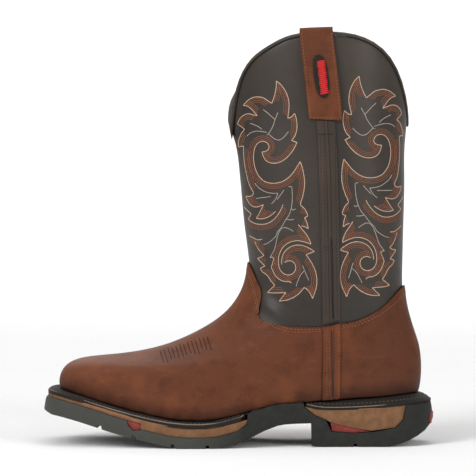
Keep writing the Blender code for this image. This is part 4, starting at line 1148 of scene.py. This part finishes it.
seamStitches = {  # length, gap, width and height of a stitch, or width and height of a cord
    "cover": (1.7, 0.9, 0.6, 0.3),
    "bead": (1.7, 0.25),
    "thin bead": (1.3, 0.25),
    "bar": (1.0, 0.3),
    "cross row": (1.6, 0.8, 0.6, 0.3),
    "foot": (1.9, 0.8, 0.65, 0.3),
    "strap": (2.0, 0.7, 0.75, 0.35),
}
seamRows = (  # what it is sewn on, thread, kind of stitch, its ends in the photo, steps
    ("shaft", "dark", "cover", (320.4, 136), (322.6, 325), 20),
    ("shaft", "rust", "cover", (323.8, 136), (326.0, 325), 20),
    ("shaft", "dark", "cover", (335.2, 136), (337.4, 325), 20),
    ("shaft", "rust", "cover", (338.8, 136), (341.6, 325), 20),
    # the dark beads stand for the piping cord along the seam and the shadow beside it: in part painted
    # shadow
    ("shaft", "dark", "bead", (330.9, 238), (332.9, 326), 12),
    ("shaft", "dark", "bead", (331.8, 240), (333.8, 326), 12),
    ("foot", "dark", "thin bead", (331.6, 330), (332.5, 397), 10),
    ("shaft", "dark", "bar", (317.5, 134.2), (338.5, 134.2), 8),
    ("shaft", "rust", "cross row", (318, 247.2), (340, 247.2), 8),
    ("shaft", "rust", "cross row", (318, 250), (340, 250), 8),
    ("foot", "tan", "foot", (327.0, 331), (327.0, 395), 10),
    ("foot", "tan", "foot", (329.8, 331), (329.8, 395), 10),
    ("foot", "tan", "foot", (338.5, 331), (338.5, 395), 10),
    ("foot", "rust", "foot", (333.6, 331), (333.6, 395), 10),
    ("strap", "tan", "strap", (301.6, 33), (310.6, 118), 10),
    ("strap", "tan", "strap", (331.4, 33), (340.4, 118), 10),
    ("strap", "tan", "strap", (310.5, 117.8), (340.5, 118), 8),
)


def sewSeams():
    bags = {"dark": ThreadBag(), "rust": ThreadBag(), "tan": ThreadBag()}
    for side in (outer, inner):
        for part, colour, kind, top, bottom, steps in seamRows:
            places = [Vector(top).lerp(Vector(bottom), t / steps) for t in range(steps + 1)]
            path = onPiece(seamTrees[outer][part], places)
            sew = bags[colour].stitches if len(seamStitches[kind]) == 4 else bags[colour].lay
            sew(path if side == outer else flipped(path), seamTrees[side][part], *seamStitches[kind])
    bags["dark"].sew("seam_stitches_dark", threads["black"], "shaft_leather")
    bags["rust"].sew("seam_stitches_rust", threads["shade"], "shaft_leather")
    bags["tan"].sew("seam_stitches_tan", threads["tan"], "brown_leather")


redBar = {
    "top": (320.9, 61.5),
    "bottom": (324.6, 93.0),
    "rows": 17,
    "slope": -0.22,
    "length": 7.0,
    "width": 1.75,
    "height": 0.55,
}


def sewBadge():  # a plain bar of red satin stitches on the strap patch
    bag = ThreadBag()
    for i in range(redBar["rows"]):
        px, py = Vector(redBar["top"]).lerp(Vector(redBar["bottom"]), i / (redBar["rows"] - 1))
        spots = onPiece(badgeTree, [(px, py), (px + 1.0, py + redBar["slope"])])
        if len(spots) == 2:
            length = redBar["length"] * (1 + 0.08 * math.sin(i * 1.3))
            way = (spots[1] - spots[0]).normalized()
            bag.capsule(spots[0], way, badgeTree, length, redBar["width"], redBar["height"])
    bag.sew("badge_bar", threads["red"], "red_rubber")


sewEdges()
sewToe()
sewSeams()
sewBadge()
print("stitches ready")


# Sole

soleParts = (  # node, piece, material, slot, edge radius
    ("outsole", "outsole_rubber", blackRubber, "black_rubber", 0.6 * mm),
    ("midsole", "midsole_foam", tanFoam, "tan_midsole", 0.4 * mm),
    ("welt", "welt_strip", rimRubber, "black_rubber", 0.2 * mm),
    ("heel_rim", "heel_cup", rimRubber, "black_rubber", 0.5 * mm),
    ("heel_wedge", "heel_foam", tanFoam, "tan_midsole", 0.4 * mm),
    ("heel_inlay", "heel_flash", redRubber, "red_rubber", 0.3 * mm),
    ("red_plug_lateral", "ball_plug_lateral", redRubber, "red_rubber", 0.3 * mm),
    ("red_plug_medial", "ball_plug_medial", redRubber, "red_rubber", 0.3 * mm),
    ("heel_badge", "heel_plate", redRubber, "red_rubber", 0.2 * mm),
    ("insole", "footbed", footbedCloth, "footbed", 0.6 * mm),
)
soleShape = {
    "smooth": 40,
    "toe": -0.150,
    "toe low": 0.030,
    "toe rise": 6 * mm,
    "toe lean": 1.4 * mm,
    "plate in": 0.6 * mm,
    "paler from": 0.005,
    "paler over": 0.04,
}


def litAndDustyRubber(place, normal):  # painted light and dust: the forepart of the outsole is paler, where it faces the key light and has gathered dust
    return share((soleShape["paler from"] - place.x) / soleShape["paler over"])


soles = {}
for node, name, material, slot, width in soleParts:
    piece = copyOfNode(node, name)
    bevel(piece, width)
    if node == "outsole":
        # the forepart of the outsole is painted paler: painted light and dust
        paint(piece, "lit_and_dusty", litAndDustyRubber)
    soles[node] = finishPiece(piece, material, slot, node, sharp=soleShape["smooth"])
for vert in soles["outsole"].data.vertices:  # the toe's upper corner leans back under the welt
    if vert.co.x < soleShape["toe"] and vert.co.z > soleShape["toe low"]:
        up = share((vert.co.z - soleShape["toe low"]) / soleShape["toe rise"])
        vert.co.x += soleShape["toe lean"] * up
for vert in soles["heel_badge"].data.vertices:
    vert.co.x -= soleShape["plate in"]


# Beads, lips and stitches round the sole

soleTrim = {
    "welt centre": Vector((-0.03, 0.0)),
    "heel centre": Vector((0.105, 0.0)),
    "flat": 0.5,
    "lip": (0.75, 1.65),
    "heel lip": (0.5, 0.7),
    "heel lip from": 0.098,
    "ridge": (0.6, 0.6),
    "heel ridge": (0.45, 0.4),
    "waist lip": (1.1, 2.0),
    "waist": (0.004, 0.062),
    "waist top": 0.05,
    "waist drop": 0.9 * mm,
    "welt rows": (2.6 * mm, 5.2 * mm),
    "heel row": 2.6 * mm,
    "welt stitch": (2.2, 1.3, 0.9, 0.45),
    "heel stitch": (2.0, 1.5, 0.9, 0.4),
}


def edgeLine(node, centre, up):  # outer edge of a ledge, in order round the sole
    shape = bmesh.new()
    shape.from_mesh(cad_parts[node].data)
    bmesh.ops.remove_doubles(shape, verts=shape.verts, dist=weld)
    shape.normal_update()
    flat = soleTrim["flat"]
    found = set()
    for edge in shape.edges:
        if len(edge.link_faces) != 2:
            continue
        outwards = edge.verts[0].co.to_2d() - centre
        normals = [face.normal for face in edge.link_faces]
        wall = any(abs(n.z) < flat and n.to_2d().dot(outwards) > 0 for n in normals)
        if wall and any(n.z > flat if up else n.z < -flat for n in normals):
            found.update(edge.verts)
    turned = math.pi if centre.x > 0 else 0.0  # the open end of the U decides where it starts
    places = [vert.co.copy() for vert in shape.verts if vert in found]
    shape.free()
    places.sort(key=lambda p: (math.atan2(p.y - centre.y, p.x - centre.x) - turned) % (2 * math.pi))
    return smoothed(places)


def movedIn(path, centre, distance, rise):
    result = []
    for i, here in enumerate(path):
        way = wayAt(path, i)
        aside = Vector((-way.y, way.x, 0)).normalized()
        if aside.dot(centre.to_3d() - here) < 0:
            aside = -aside
        result.append(here + aside * distance + upright * rise)
    return result


def addSoleTrim():
    welt, heel = soleTrim["welt centre"], soleTrim["heel centre"]
    weltTop, weltLow = edgeLine("welt", welt, True), edgeLine("welt", welt, False)
    rimTop, rimLow = edgeLine("heel_rim", heel, True), edgeLine("heel_rim", heel, False)
    rimLow = [p for p in rimLow if p.x > soleTrim["heel lip from"]]
    ridge, lip, rimLip, seams, waist = [ThreadBag() for _ in range(5)]
    # ridge beads in a pale colour: painted highlight along the top edge of the welt and the heel rim
    ridge.tube(movedIn(weltTop, welt, 0.3 * mm, 0.0), *soleTrim["ridge"], beat=0.25)
    lip.tube(movedIn(weltLow, welt, 0.15 * mm, -0.3 * mm), *soleTrim["lip"])
    ridge.tube(movedIn(rimTop, heel, 0.2 * mm, 0.0), *soleTrim["heel ridge"])
    rimLip.tube(movedIn(rimLow, heel, 0.3 * mm, -0.3 * mm), *soleTrim["heel lip"])
    weltTree, rimTree = treeOf(soles["welt"]), treeOf(soles["heel_rim"])
    for distance in soleTrim["welt rows"]:
        seams.stitches(movedIn(weltTop, welt, distance, 0.5 * mm), weltTree, *soleTrim["welt stitch"])
    row = movedIn(rimTop, heel, soleTrim["heel row"], soleTrim["heel row"])
    seams.stitches(row, rimTree, *soleTrim["heel stitch"])
    ridge.sew("sole_ridge_highlights", threads["welt"], "black_rubber")
    # the lips in the paler foam: painted highlight
    lip.sew("midsole_lip", highlitFoam, "tan_midsole")
    rimLip.sew("heel_lip", highlitFoam, "tan_midsole")
    seams.sew("sole_stitches", threads["sole"], "black_rubber")
    start, end = soleTrim["waist"]
    for side in (outer, inner):
        low = [p for p in vampBorder if p.z < soleTrim["waist top"] and p.y * side > 0]
        low = sorted((p for p in low if start < p.x < end), key=lambda p: p.x)
        waist.tube([p - upright * soleTrim["waist drop"] for p in smoothed(low)], *soleTrim["waist lip"])
    waist.sew("waist_lip", blackRubber, "black_rubber")


addSoleTrim()
print("sole ready")
